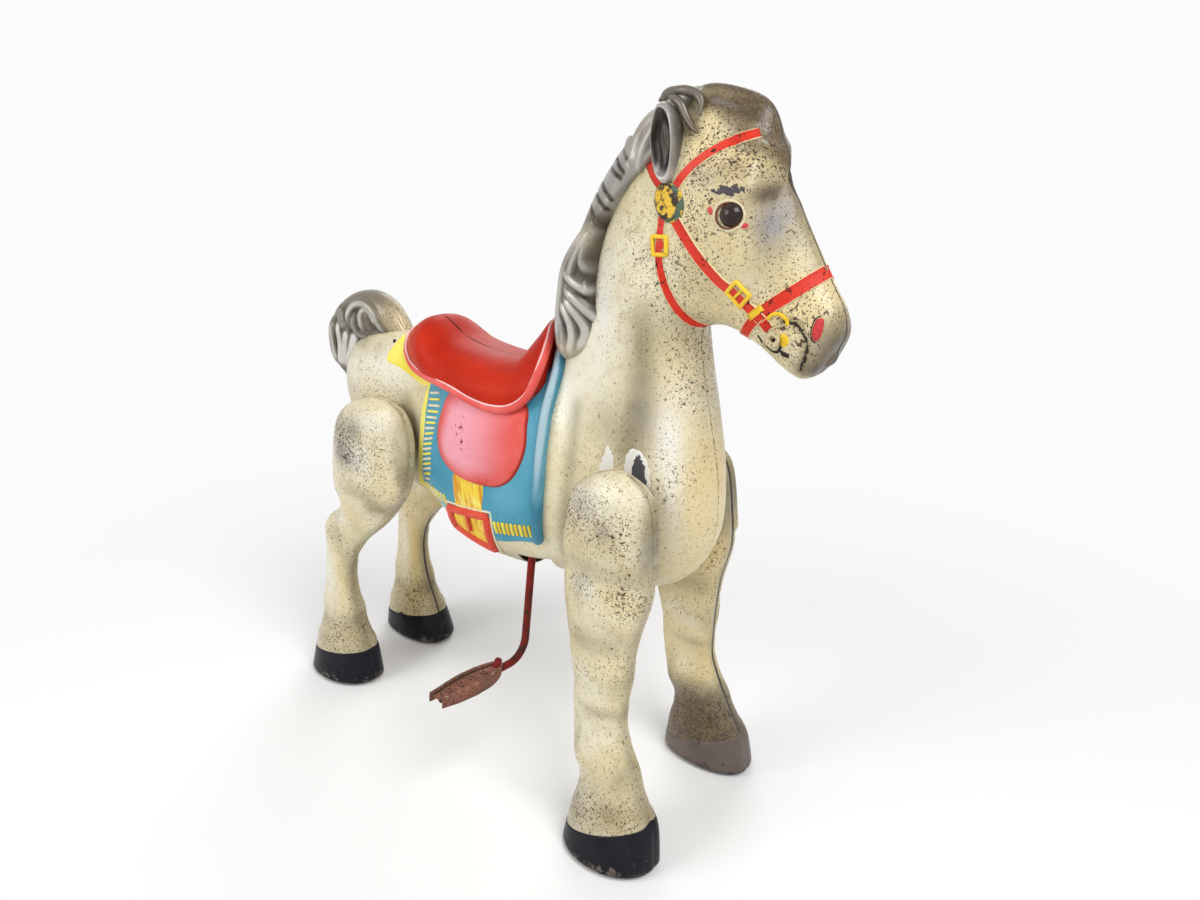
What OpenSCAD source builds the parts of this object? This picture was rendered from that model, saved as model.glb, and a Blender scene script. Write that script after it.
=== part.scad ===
// Ride on horse on wheels: a hollow pressed-steel horse in two mirrored half shells.
// Four hollow legs swing on two cross axles, a stirrup on each side works the legs of that side,
// and a one-way wheel sits in each hoof.
// Millimetres. The horse faces +X, its left side is +Y, the floor is Z = 0.

/* [Body] */
// Overall length, muzzle to tail
body_l = 708; // [690:2:726]
// Height to the top of the forelock
body_h = 760; // [738:2:782]
// Full width of the barrel behind the shoulders
barrel_w = 132; // [129:1:136]
// Sheet thickness of every pressing
sheet_t = 1.2; // [1:0.1:1.5]
// Open line left between the two half shells
seam_gap = 0.3; // [0.2:0.1:0.5]
// Diameter of the glass eyes
eye_d = 22; // [19:0.5:24]
// Bore of the rein eyelets beside the mouth
rein_bore = 6; // [5:0.25:7]

/* [Legs] */
// Depth of a leg's inner half at its pivot
inner_depth = 15; // [14:0.5:16]
// Depth of a leg's outer half at its pivot
outer_depth = 23; // [20:0.5:26]
// How far the front hooves stand out from their pivots
front_splay = 24; // [20:0.5:28]
// Swing of each leg when its stirrup is pressed
leg_swing = 12; // [9:0.5:13]

/* [Running gear] */
// Diameter of the two cross axles
axle_d = 9.5; // [8.5:0.25:10.5]
// Wall of the hub tubes that turn on the axles
tube_t = 2.2; // [1.8:0.1:2.6]
// Play on the radius of every running fit
run_play = 0.05; // [0.03:0.01:0.08]
// Side play between a leg and its bush
side_play = 1; // [0.8:0.1:1.5]
// Thickness of the lever bars
lever_t = 4; // [3.5:0.25:4.5]
// Height of the lever bars
lever_h = 16; // [14:0.5:18]

/* [Stirrups] */
// Diameter of the stirrup rods
rod_d = 9; // [8:0.25:10]
// Length of a tread
tread_l = 95; // [88:1:102]
// Width of a tread at its middle
tread_w = 30; // [27:0.5:33]
// Wire of the return springs
spring_wire = 2; // [1.6:0.1:2.2]
// Turns of each return spring
spring_turns = 8; // [6:1:9]

/* [Wheels] */
// Diameter of the hoof wheels over the tyre
wheel_d = 42; // [38:0.5:44]
// Width of the tyres
tyre_w = 14; // [12:0.5:15]
// Diameter of the wheel pins
pin_d = 6; // [5.5:0.25:6.5]
// Teeth of each ratchet ring
ratchet_teeth = 14; // [12:1:16]

/* [Hidden] */
kx = body_l / 708;
ky = barrel_w / 132;
kz = body_h / 760;
// Pivots of the front and rear legs
pf = [168 * kx, 372 * kz];
pr = [-208 * kx, 372 * kz];
mid_x = 24 * kx;
front_lever = pf.x - mid_x;
rear_lever = mid_x - pr.x;
// Share of the front leg's swing that the rear leg gets
swing_ratio = 0.98 * front_lever / rear_lever;
// Flat faces pressed around the pivots in the body
front_face = 51.5 * ky;
rear_face = 42.5 * ky;
cup_depth = 12;
hub_bore = axle_d + 2 * run_play;
hub_d = hub_bore + 2 * tube_t;
bush_bore = hub_d + 2 * run_play;
bush_d = bush_bore + 5;
bush_flange_d = bush_d + 9;
bush_flange_t = 2;
cup_d = bush_d + 12;
pad_h = 1.5;
pad_d = hub_d + 22;
// Middle planes of the front and rear legs, at their pivots
front_y = front_face + bush_flange_t + side_play + pad_h + inner_depth;
rear_y = rear_face + bush_flange_t + side_play + pad_h + inner_depth;
// Planes of the levers inside the body
front_lever_y = 33 * ky;
rear_lever_y = 26 * ky;
wheel_r = wheel_d / 2;
front_hoof_x = 195 * kx;
rear_hoof_x = -300 * kx;
fork_in = tyre_w / 2 + 6;
fork_t = 2;
bridge_z = wheel_d + 3.5;
ratchet_r = 0.62 * wheel_r;
rod_r = rod_d / 2;
// Inner and lower corners of the stirrup rods, and the slope of the treads
rod_top_y = 15.5 * ky;
rod_low = [48 * ky, 143 * kz];
tread_tilt = 5;
tread_start = 40;
spring_y = (rear_lever_y - lever_t / 2 + rod_top_y + rod_r) / 2;
spring_bar_z = 444 * kz;
e = 0.01;

// Points round a body section
body_n = 22;

// Body sections, tail end to muzzle: top x z, bottom x z, half width, skew, fullness
body_rows = [
    [-304, 432, -303, 406, 8, 1, 1],
    [-299, 452, -297, 378, 26, 1, 1],
    [-282, 474, -279, 342, 37, 1, 0.9],
    [-250, 486, -246, 310, 42, 1, 0.85],
    [-200, 490, -196, 293, 43, 1, 0.85],
    [-150, 489, -148, 284, 46, 1, 0.85],
    [-98, 485, -100, 257, 56, 1, 0.85],
    [-34, 479, -36, 244, 65, 1, 0.85],
    [24, 482, 28, 248, 66, 0.95, 0.85],
    [50, 496, 92, 260, 62, 0.85, 0.85],
    [60, 520, 152, 264, 55, 0.7, 0.85],
    [66, 550, 208, 288, 51, 0.65, 0.85],
    [72, 582, 239, 336, 50, 0.62, 0.9],
    [80, 614, 243, 392, 48, 0.62, 1],
    [95, 647, 234, 446, 46, 0.65, 1],
    [114, 680, 223, 494, 43, 0.7, 1],
    [138, 710, 216, 532, 41, 0.8, 1],
    [166, 735, 219, 551, 41, 0.85, 1],
    [202, 757, 238, 556, 43, 0.9, 0.95],
    [238, 756, 254, 554, 44, 0.9, 0.95],
    [272, 741, 267, 549, 43, 0.86, 0.95],
    [288, 700, 281, 543, 40, 0.78, 0.95],
    [304, 664, 293, 536, 35, 0.74, 0.95],
    [322, 632, 304, 528, 32, 0.76, 0.95],
    [337, 606, 313, 523, 30, 0.82, 0.9],
    [350, 585, 322, 521, 28, 0.9, 0.85],
    [354, 566, 332, 525, 23, 1, 0.8],
    [348, 548, 339, 533, 11, 1, 0.9]
];

// Tail bob, tip to root
tail_rows = [
    [-328, 409, -310, 404, 10, 1, 1],
    [-347, 428, -294, 416, 20, 1, 0.9],
    [-353, 456, -288, 428, 25, 1, 0.85],
    [-337, 494, -282, 440, 27, 1, 0.85],
    [-304, 519, -272, 450, 27, 1, 0.85],
    [-266, 527, -256, 460, 24, 1, 0.85],
    [-230, 516, -236, 466, 18, 1, 0.9],
    [-204, 487, -214, 470, 8, 1, 1]
];

// Mane along the crest, withers to poll
mane_rows = [
    [48, 494, 62, 484, 10, 1, 1],
    [46, 520, 96, 506, 34, 0.9, 0.8],
    [50, 560, 114, 542, 37, 0.9, 0.75],
    [57, 598, 128, 576, 37, 0.9, 0.75],
    [78, 632, 140, 606, 35, 0.9, 0.75],
    [98, 670, 152, 640, 33, 0.9, 0.75],
    [127, 708, 176, 668, 33, 0.9, 0.75],
    [160, 738, 202, 690, 34, 0.9, 0.75],
    [188, 757, 217, 712, 30, 1, 0.8],
    [207, 760, 222, 736, 12, 1, 1]
];

// Saddle, cantle to pommel
saddle_rows = [
    [-180, 494, -178, 474, 14, 1, 1],
    [-164, 508, -160, 458, 36, 0.7, 0.65],
    [-136, 515, -130, 442, 51, 0.8, 0.55],
    [-98, 496, -95, 434, 58, 0.8, 0.55],
    [-57, 488, -52, 430, 61, 0.8, 0.55],
    [-20, 487, -14, 426, 62, 0.8, 0.55],
    [6, 496, 24, 426, 61, 0.7, 0.6],
    [22, 518, 52, 434, 57, 0.6, 0.7],
    [33, 534, 76, 458, 46, 0.6, 0.8],
    [43, 530, 84, 496, 18, 1, 1]
];

// Front leg, shoulder to hoof: front x z, rear x z, outer and inner depth factors
front_rows = [
    [184, 415, 166, 415, 0.2, 0.2],
    [204, 404, 142, 405, 0.62, 0.62],
    [214, 386, 124, 388, 0.88, 0.9],
    [219, 345, 115, 347, 1, 1],
    [220, 302, 116, 304, 1, 1],
    [208, 256, 118, 264, 0.92, 0.94],
    [203, 220, 124, 222, 0.84, 0.9],
    [200, 185, 131, 186, 0.78, 0.86],
    [199, 150, 133, 150, 0.78, 0.86],
    [209, 118, 138, 118, 0.84, 1],
    [223, 90, 148, 90, 0.95, 1.25],
    [238, 60, 148, 60, 1.18, 1.65],
    [248, 42, 143, 42, 1.36, 2],
    [250, 6, 140, 6, 1.45, 2]
];

// Rear leg, thigh to hoof
rear_rows = [
    [-172, 417, -200, 417, 0.2, 0.2],
    [-150, 408, -238, 404, 0.62, 0.62],
    [-140, 388, -264, 382, 0.88, 0.9],
    [-139, 360, -276, 350, 1, 1],
    [-148, 316, -284, 306, 1, 1],
    [-170, 280, -284, 276, 0.96, 0.98],
    [-202, 247, -285, 256, 0.88, 0.94],
    [-238, 218, -306, 236, 0.84, 0.9],
    [-260, 195, -318, 206, 0.82, 0.88],
    [-274, 160, -324, 164, 0.78, 0.86],
    [-274, 122, -329, 126, 0.84, 1],
    [-267, 92, -335, 94, 0.95, 1.25],
    [-256, 62, -345, 64, 1.18, 1.65],
    [-249, 42, -351, 42, 1.36, 2],
    [-247, 6, -354, 6, 1.45, 2]
];

// Place t between row i and the next on a smooth curve through rows of numbers
function blend(a, b, c, d, t) =
    0.5 * (2 * b + (c - a) * t + (2 * a - 5 * b + 4 * c - d) * t * t + (3 * b - a - 3 * c + d) * t * t * t);
function row_at(r, i, t) =
    let (m = len(r) - 1)
    blend(r[max(i - 1, 0)], r[i], r[min(i + 1, m)], r[min(i + 2, m)], t);
function part_of(r, a, b) = [for (i = [a : b]) r[i]];

// One point of a body section: c insets the section by the sheet, t is the angle from the top
function section_pt(s, c, t) =
    let (
        top = [s[0] * kx, s[1] * kz],
        low = [s[2] * kx, s[3] * kz],
        dir = (low - top) / norm(low - top),
        q = pow((1 - cos(t)) / 2, s[5]),
        p = top + dir * c + (low - top - 2 * c * dir) * q,
        w = max(s[4] * ky - c, 0.6)
    )
    [p.x, w * sign(sin(t)) * pow(abs(sin(t)), s[6]), p.y];

// Closed loft through full sections of n points, the first a share turn of a step from the top
module loft(rows, c, n, turn = 0.5) {
    m = len(rows);
    pts = [for (s = rows, j = [0 : n - 1]) section_pt(s, c, 360 * (j + turn) / n)];
    sides = [
        for (i = [0 : m - 2], j = [0 : n - 1])
            let (k = (j + 1) % n)
            each [
                [i * n + j, (i + 1) * n + k, (i + 1) * n + j],
                [i * n + j, i * n + k, (i + 1) * n + k]
            ]
    ];
    first = [for (j = [n - 1 : -1 : 0]) j];
    last = [for (j = [0 : n - 1]) (m - 1) * n + j];
    polyhedron(points = pts, faces = concat(sides, [first, last]));
}

// Half a leg as one pressed shell: open at the hoof, rim on the leg's middle plane.
// dirn is 1 for the outer half and -1 for the inner half.
module leg_shell(rows, plane_y, lean, depth, col, dirn, full, n) {
    m = len(rows);
    g = seam_gap / 2;
    function leg_pt(i, c, t) =
        let (
            s = i == 0 && c > 0 ? (rows[0] + rows[1]) / 2 : rows[i],
            a = [s[0] * kx, s[1] * kz],
            b = [s[2] * kx, s[3] * kz],
            d = (b - a) / norm(b - a),
            p = a + d * c + (b - a - 2 * c * d) * (1 - cos(t)) / 2,
            w = (s[col] * depth - c) * pow(sin(t), full)
        )
        [p.x, plane_y + lean * (1 - p.y / pf.y) + dirn * (g + w), p.y];
    outer = [for (i = [0 : m - 1], j = [0 : n]) leg_pt(i, 0, 180 * j / n)];
    inner = [for (i = [0 : m - 1], j = [0 : n]) leg_pt(i, sheet_t, 180 * j / n)];
    k = n + 1;
    o = m * k;
    skin = [
        for (i = [0 : m - 2], j = [0 : n - 1])
            each [
                [i * k + j, (i + 1) * k + j, (i + 1) * k + j + 1],
                [i * k + j, (i + 1) * k + j + 1, i * k + j + 1]
            ]
    ];
    lining = [for (f = skin) [o + f[2], o + f[1], o + f[0]]];
    rim = [
        for (i = [0 : m - 2])
            each [
                [i * k, o + i * k, o + (i + 1) * k, (i + 1) * k],
                [i * k + n, (i + 1) * k + n, o + (i + 1) * k + n, o + i * k + n]
            ]
    ];
    hoof_edge = [
        for (j = [0 : n - 1])
            let (b = (m - 1) * k + j)
            [b, o + b, o + b + 1, b + 1]
    ];
    crown = [
        [for (j = [0 : n]) j],
        [for (j = [n : -1 : 0]) o + j],
        [0, n, o + n, o]
    ];
    faces = concat(skin, lining, rim, hoof_edge, crown);
    polyhedron(
        points = concat(outer, inner),
        faces = dirn < 0 ? faces : [for (f = faces) [for (i = [len(f) - 1 : -1 : 0]) f[i]]]
    );
}

// Tube of radius r along a path of points that lies in one plane x = const
module sweep(path, r, n) {
    m = len(path);
    function heading(i) =
        let (d = path[min(i + 1, m - 1)] - path[max(i - 1, 0)])
        d / norm(d);
    pts = [
        for (i = [0 : m - 1], j = [0 : n - 1])
            let (h = heading(i), t = 360 * j / n, side = [0, h.z, -h.y])
            path[i] + r * (cos(t) * [1, 0, 0] + sin(t) * side)
    ];
    tube_faces(pts, m, n);
}

// Skin over m rings of n points, closed at both ends
module tube_faces(pts, m, n) {
    polyhedron(
        points = pts,
        faces = concat(
            [
                for (i = [0 : m - 2], j = [0 : n - 1])
                    let (k = (j + 1) % n)
                    each [
                        [i * n + j, (i + 1) * n + j, (i + 1) * n + k],
                        [i * n + j, (i + 1) * n + k, i * n + k]
                    ]
            ],
            [[for (j = [0 : n - 1]) j]],
            [[for (j = [n - 1 : -1 : 0]) (m - 1) * n + j]]
        )
    );
}

// Cylinder along Y from y0 to y1 at x, z
module bar_y(d, y0, y1, x, z, fn = 32) {
    translate([x, y0, z])
        rotate([-90, 0, 0])
            cylinder(d = d, h = y1 - y0, $fn = fn);
}

// Draws for the left side, or mirrored for the right
module on_side(left) {
    if (left) children();
    else mirror([0, 1, 0]) children();
}

// Point on the mane at place u along its rows and angle t round its section
function mane_pt(u, t) =
    let (i = min(floor(u), len(mane_rows) - 2))
    section_pt(row_at(mane_rows, i, u - i), 0, t);

// One lock of hair standing out of the mane
module lock(u0, u1, u2, r) {
    a = mane_pt(u0, 48);
    b = mane_pt(u1, 82);
    c = mane_pt(u2, 116);
    hull() {
        translate(a) sphere(r = r * 0.6, $fn = 6);
        translate(b) sphere(r = r, $fn = 6);
    }
    hull() {
        translate(b) sphere(r = r, $fn = 6);
        translate(c) sphere(r = r * 0.5, $fn = 6);
    }
}

function eye_pt() = [262 * kx, 42 * ky - eye_d * 0.22, 656 * kz];
function rein_pt() = [304 * kx, 31 * ky, 558 * kz];

module ear() {
    translate([196 * kx, 36 * ky, 712 * kz])
        rotate([14, 4, 0])
            scale([14, 11, 33])
                sphere(r = 1, $fn = 14);
}

// Left half shell with saddle, mane, ear and tail raised in the same sheet
module body_half() {
    k = len(body_rows) - 1;
    difference() {
        union() {
            difference() {
                intersection() {
                    union() {
                        loft(body_rows, 0, body_n);
                        loft(tail_rows, 0, 12);
                        loft(mane_rows, 0, 13, 0);
                        loft(saddle_rows, 0, 17, 0);
                        ear();
                        lock(1.5, 1.2, 0.9, 6);
                        lock(2.6, 2.1, 1.6, 6);
                        lock(3.7, 3.1, 2.5, 6);
                        lock(5.0, 4.6, 4.2, 4);
                        lock(6.2, 5.8, 5.4, 4);
                        lock(7.4, 7.0, 6.6, 4);
                    }
                    translate([-500, seam_gap / 2, 0])
                        cube([1000, 300, 900]);
                }
                loft(part_of(body_rows, 1, k - 1), sheet_t, body_n);
                loft(part_of(tail_rows, 1, 6), sheet_t, 12);
                loft(part_of(mane_rows, 1, 8), sheet_t, 13, 0);
                loft(part_of(saddle_rows, 1, 8), sheet_t, 17, 0);
            }
            bar_y(cup_d, front_face - cup_depth, front_face, pf.x, pf.y, 28);
            bar_y(cup_d, rear_face - cup_depth, rear_face, pr.x, pr.y, 28);
        }
        bar_y(bush_d + 0.3, -1, 200, pf.x, pf.y, 48);
        bar_y(bush_d + 0.3, -1, 200, pr.x, pr.y, 48);
        // Belly slot that the stirrup rod swings in
        translate([mid_x - rod_r - 5, -1, 180 * kz])
            cube([belly_slot_l, 44 * ky, 110 * kz]);
        translate(eye_pt())
            sphere(d = eye_d + 0.7, $fn = 24);
        bar_y(rein_bore + 3.4, rein_pt().y - 12, 60, rein_pt().x, rein_pt().z, 32);
    }
}
// Room for the rod's forward swing at belly level
belly_slot_l = rod_d + 11 + (pf.y - 245 * kz) * sin(leg_swing) + front_lever * (1 - cos(leg_swing));

module body_left() {
    color([0.86, 0.81, 0.62])
        body_half();
}

module body_right() {
    color([0.86, 0.81, 0.62])
        mirror([0, 1, 0]) body_half();
}

// Folded clips across the seam, inside the shells
module clip_at(p, q) {
    d = (q - p) / norm(q - p);
    translate([(p.x + q.x) / 2, 0, (p.y + q.y) / 2])
        rotate([0, -atan2(d.y, d.x), 0])
            translate([-8, -4, 0.05])
                cube([16, 8, 1.2]);
}

// Inside of the sheet at the lower seam, at section i
function seam_at(i) =
    let (p = section_pt(body_rows[i], sheet_t, 180 + 180 / body_n))
    [p.x, p.z];

module seam_clips() {
    color([0.45, 0.44, 0.42])
        for (i = [3, 5, 6, 9, 10, 12, 13, 14])
            clip_at(seam_at(i), seam_at(i + 1));
}

// Hanger under the saddle: top flange, web, spring bar and stop bar
module spring_hanger() {
    web_x = mid_x - 34;
    stop_z = pf.y + lever_h / 2 + 4.3;
    top_z = 485 * kz;
    color([0.45, 0.44, 0.42]) {
        translate([web_x - 6, -3, top_z - 2])
            cube([26, 6, 2]);
        translate([web_x - 6, -1.5, stop_z - 6])
            cube([46, 3, top_z - stop_z + 5]);
        bar_y(6, -rear_lever_y - 4, rear_lever_y + 4, mid_x, spring_bar_z);
        bar_y(8, -rear_lever_y - 4, rear_lever_y + 4, mid_x - 30, stop_z);
    }
}

module eye(left) {
    p = eye_pt();
    color([0.05, 0.05, 0.06])
        on_side(left) {
            translate(p)
                rotate([-90, 0, 0])
                    rotate_extrude($fn = 40)
                        intersection() {
                            circle(d = eye_d, $fn = 64);
                            translate([0, -eye_d * 0.36])
                                square([eye_d, eye_d]);
                        }
            bar_y(5, p.y - eye_d * 0.36 - 5, p.y - eye_d * 0.36 + e, p.x, p.z);
        }
}

// Flanged eyelet closed over the sheet beside the mouth
module rein_eyelet(left) {
    p = rein_pt();
    color([0.75, 0.6, 0.22])
        on_side(left)
            translate([p.x, p.y, p.z])
                rotate([-90, 0, 0])
                    difference() {
                        union() {
                            translate([0, 0, -7]) cylinder(d = rein_bore + 3, h = 9, $fn = 40);
                            translate([0, 0, 1]) cylinder(d = rein_bore + 7, h = 1.4, $fn = 40);
                        }
                        translate([0, 0, -8]) cylinder(d = rein_bore, h = 12, $fn = 40);
                    }
}

// Cross axle through both hub tubes, ending inside the legs
function axle_end(plane_y) = plane_y - inner_depth + 13.5;

module front_axle() {
    color([0.55, 0.54, 0.52])
        bar_y(axle_d, -axle_end(front_y), axle_end(front_y), pf.x, pf.y, 48);
}

module rear_axle() {
    color([0.55, 0.54, 0.52])
        bar_y(axle_d, -axle_end(rear_y), axle_end(rear_y), pr.x, pr.y, 48);
}

// Push-on nuts that keep the legs on an axle
module axle_nuts(p, plane_y) {
    y = axle_end(plane_y) - 3;
    for (s = [0, 1])
        on_side(s == 1)
            translate([p.x, y, p.y])
                rotate([-90, 0, 0])
                    difference() {
                        union() {
                            cylinder(d = axle_d + 9, h = 0.9, $fn = 40);
                            cylinder(d = axle_d + 4, h = 2.4, $fn = 40);
                        }
                        translate([0, 0, -1]) cylinder(d = axle_d, h = 5, $fn = 48);
                    }
}

module front_axle_nuts() {
    color([0.5, 0.5, 0.5])
        axle_nuts(pf, front_y);
}

module rear_axle_nuts() {
    color([0.5, 0.5, 0.5])
        axle_nuts(pr, rear_y);
}

// Flanged bush in the body wall that a hub tube turns in
module bush(p, face, left) {
    color([0.6, 0.5, 0.3])
        on_side(left)
            translate([p.x, face - cup_depth, p.y])
                rotate([-90, 0, 0])
                    difference() {
                        union() {
                            cylinder(d = bush_d, h = cup_depth + 0.5, $fn = 48);
                            translate([0, 0, cup_depth + 0.1])
                                cylinder(d = bush_flange_d, h = bush_flange_t - 0.1, $fn = 48);
                        }
                        translate([0, 0, -1])
                            cylinder(d = bush_bore, h = cup_depth + 5, $fn = 48);
                    }
}

// Outer half of a leg
module leg_outer(front, left) {
    color([0.84, 0.79, 0.62])
        on_side(left)
            leg_shell(
                front ? front_rows : rear_rows,
                front ? front_y : rear_y, front ? front_splay : 0, outer_depth, 4, 1, 0.8, 8
            );
}

function leg_mid(front, z) =
    front ? front_y + front_splay * (1 - z / pf.y) : rear_y;

// Inner half of a leg, with a flat seat for the hub and a hole for the fork's rivet
module leg_inner(front, left) {
    p = front ? pf : pr;
    y = (front ? front_y : rear_y) - inner_depth;
    color([0.8, 0.75, 0.58])
        on_side(left)
            difference() {
                union() {
                    leg_shell(
                        front ? front_rows : rear_rows,
                        front ? front_y : rear_y, front ? front_splay : 0, inner_depth, 5, -1, 0.55, 8
                    );
                    bar_y(pad_d, y - pad_h, y + 4, p.x, p.y, 48);
                }
                bar_y(hub_d + 0.2, y - 10, y + 12, p.x, p.y, 48);
                bar_y(
                    6.4, leg_mid(front, rivet_z) - 40, leg_mid(front, rivet_z) - 5,
                    front ? front_hoof_x : rear_hoof_x, rivet_z
                );
            }
}
rivet_z = bridge_z - 6;

// Hub tube welded into the leg, with the lever that runs to the middle of the body
module crank(front, left) {
    p = front ? pf : pr;
    y = (front ? front_y : rear_y) - inner_depth;
    ly = front ? front_lever_y : rear_lever_y;
    t0 = ly - lever_t / 2;
    along = front ? -1 : 1;
    slot_w = rod_d + 1.2;
    lever_l = front ? front_lever : rear_lever;
    slot_l = front_lever * (1 - cos(leg_swing)) * 1.4 + 2;
    color([0.4, 0.39, 0.37])
        on_side(left)
            difference() {
                union() {
                    bar_y(hub_d, t0, y + 9, p.x, p.y, 48);
                    bar_y(pad_d - 4, y + 4.1, y + 7, p.x, p.y, 48);
                    bar_y(hub_d + 9, t0, t0 + lever_t, p.x, p.y, 48);
                    translate([p.x + (along > 0 ? 0 : -lever_l), t0, p.y - lever_h / 2])
                        cube([lever_l, lever_t, lever_h]);
                    if (front)
                        bar_y(lever_h, t0, t0 + lever_t, mid_x, p.y, 48);
                    else
                        translate([mid_x - 14, t0, p.y - slot_w / 2 - 6])
                            cube([22 + slot_l, lever_t, slot_w / 2 + 6 + lever_h / 2]);
                }
                bar_y(hub_bore, t0 - 1, y + 20, p.x, p.y, 48);
                if (front)
                    bar_y(rod_d + 0.04, t0 - 1, t0 + lever_t + 1, mid_x, p.y, 48);
                else {
                    bar_y(slot_w, t0 - 1, t0 + lever_t + 1, mid_x, p.y, 48);
                    bar_y(slot_w, t0 - 1, t0 + lever_t + 1, mid_x + slot_l, p.y, 48);
                    translate([mid_x, t0 - 1, p.y - slot_w / 2])
                        cube([slot_l, lever_t + 2, slot_w]);
                }
            }
}

// Bent stirrup rod: cross pin through the levers, leg through the belly, arm under the tread
module stirrup_rod(left) {
    top = [rod_top_y, pf.y];
    arm = [cos(tread_tilt), sin(tread_tilt)];
    pin_y = front_lever_y + lever_t / 2 + 1;
    leg_dir = (rod_low - top) / norm(rod_low - top);
    function bend(p, a, b, r) =
        let (
            turn = acos(a * b),
            cut = r * tan(turn / 2),
            bis = (b - a) / norm(b - a),
            c = p + bis * r / cos(turn / 2),
            n = 6
        )
        [
            for (i = [0 : n])
                let (
                    f = i / n,
                    s = p - a * cut,
                    t = p + b * cut,
                    v = (s - c) * sin(turn * (1 - f)) / sin(turn) + (t - c) * sin(turn * f) / sin(turn)
                )
                c + v
        ];
    path2 = concat(
        [[pin_y, pf.y]],
        bend(top, [-1, 0], leg_dir, 6.4),
        bend(rod_low, leg_dir, arm, 26),
        [rod_low + arm * (tread_start + tread_l - 8)]
    );
    color([0.62, 0.16, 0.12])
        on_side(left)
            sweep([for (q = path2) [mid_x, q.x, q.y]], rod_r, 10);
}

// Boat-shaped inverted channel with raised grip studs
module stirrup_tread(left) {
    function boat(i) = [tread_l * [0.1, 0.52, 0.9][i], tread_w * [0.34, 0.5, 0.36][i]];
    module outline(c) {
        hull()
            for (i = [0 : 2])
                translate([0, boat(i)[0]])
                    circle(r = boat(i)[1] - c, $fn = 28);
    }
    color([0.36, 0.24, 0.18])
        on_side(left)
            translate([mid_x, rod_low.x, rod_low.y])
                rotate([tread_tilt, 0, 0])
                    translate([0, tread_start, 0]) {
                        difference() {
                            translate([0, 0, -6]) linear_extrude(6 + rod_r + 1.6) outline(0);
                            translate([0, 0, -7]) linear_extrude(7 + rod_r + 0.05) outline(1.5);
                            bar_y(rod_d + 0.6, -20, tread_l / 2, 0, 0);
                        }
                        for (i = [0 : 4], s = [-1, 1])
                            translate([s * tread_w * 0.2, tread_l * (0.24 + 0.14 * i), rod_r + 1.5])
                                cylinder(d = 5, h = 1.7, $fn = 16);
                    }
}

// Return spring from the stirrup pin up to the spring bar
module return_spring(left) {
    z0 = pf.y + rod_r + 0.1;
    z1 = spring_bar_z - 3.1;
    lead = lever_h / 2 + 6;
    steps = 6;
    m = spring_turns * steps;
    n = 4;
    r = 6;
    function place(i) =
        i < 0 ? [0, z0 + (lead - 2) * (i + 2) / 2] :
        i > m ? [0, z1 - 6 * (m + 2 - i) / 2] :
        [r * min(1, 1.5 * i / steps, 1.5 * (m - i) / steps),
         z0 + lead + (z1 - z0 - lead - 8) * i / m];
    path = [
        for (i = [-2 : m + 2])
            let (q = place(i), t = 360 * i / steps)
            [q.x * cos(t), q.x * sin(t), q.y]
    ];
    count = len(path);
    function heading(i) =
        let (d = path[min(i + 1, count - 1)] - path[max(i - 1, 0)])
        d / norm(d);
    pts = [
        for (i = [0 : count - 1], j = [0 : n - 1])
            let (
                h = heading(i),
                t = 360 * (i - 2) / steps,
                out0 = [cos(t), sin(t), 0],
                out = (out0 - h * (out0 * h)) / norm(out0 - h * (out0 * h)),
                up = cross(h, out),
                a = 360 * j / n
            )
            path[i] + spring_wire / 2 * (cos(a) * out + sin(a) * up)
    ];
    color([0.5, 0.5, 0.52])
        on_side(left)
            translate([mid_x, spring_y, 0])
                tube_faces(pts, count, n);
}

// Steel fork inside the hoof, riveted to the leg's inner half
module fork(front, left) {
    x = front ? front_hoof_x : rear_hoof_x;
    y = leg_mid(front, wheel_r);
    wall = leg_mid(front, rivet_z) - 2 * inner_depth - seam_gap / 2;
    color([0.42, 0.41, 0.4])
        on_side(left)
            difference() {
                union() {
                    for (s = [-1, 1])
                        translate([x - 9, y + s * (fork_in + fork_t / 2) - fork_t / 2, wheel_r - 9])
                            cube([18, fork_t, bridge_z - wheel_r + 9 + 2]);
                    translate([x - 9, y - fork_in - fork_t, bridge_z])
                        cube([18, 2 * fork_in + 2 * fork_t, 2]);
                    bar_y(6, wall - 2, y - fork_in - 0.5, x, rivet_z);
                    bar_y(10, wall - 2.2, wall - 0.4, x, rivet_z);
                }
                bar_y(pin_d + 0.04, y - 30, y + 30, x, wheel_r, 48);
            }
}

// Wheel pin riveted in the fork
module wheel_pin(front, left) {
    x = front ? front_hoof_x : rear_hoof_x;
    y = leg_mid(front, wheel_r);
    w = fork_in + fork_t;
    color([0.55, 0.54, 0.52])
        on_side(left) {
            bar_y(pin_d, y - w - 1.5, y + w + 1.5, x, wheel_r, 48);
            bar_y(pin_d + 3, y + w + 0.05, y + w + 1.5, x, wheel_r, 48);
            bar_y(pin_d + 3, y - w - 1.5, y - w - 0.05, x, wheel_r, 48);
        }
}

// Leaf pawl under the fork's bridge, over the ratchet ring
module pawl(front, left) {
    x = front ? front_hoof_x : rear_hoof_x;
    y = leg_mid(front, wheel_r) + tyre_w / 2 + 1;
    tip = ratchet_r + 0.5;
    up = bridge_z - wheel_r;
    color([0.3, 0.3, 0.32])
        on_side(left)
            translate([x, y + 3, wheel_r])
                rotate([90, 0, 0])
                    linear_extrude(3)
                        polygon([
                            [-9, up], [-9, up - 1], [-5, up - 1.2], [2, tip], [3, tip + 0.8],
                            [-4, up - 0.2], [-4, up]
                        ]);
}

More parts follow.
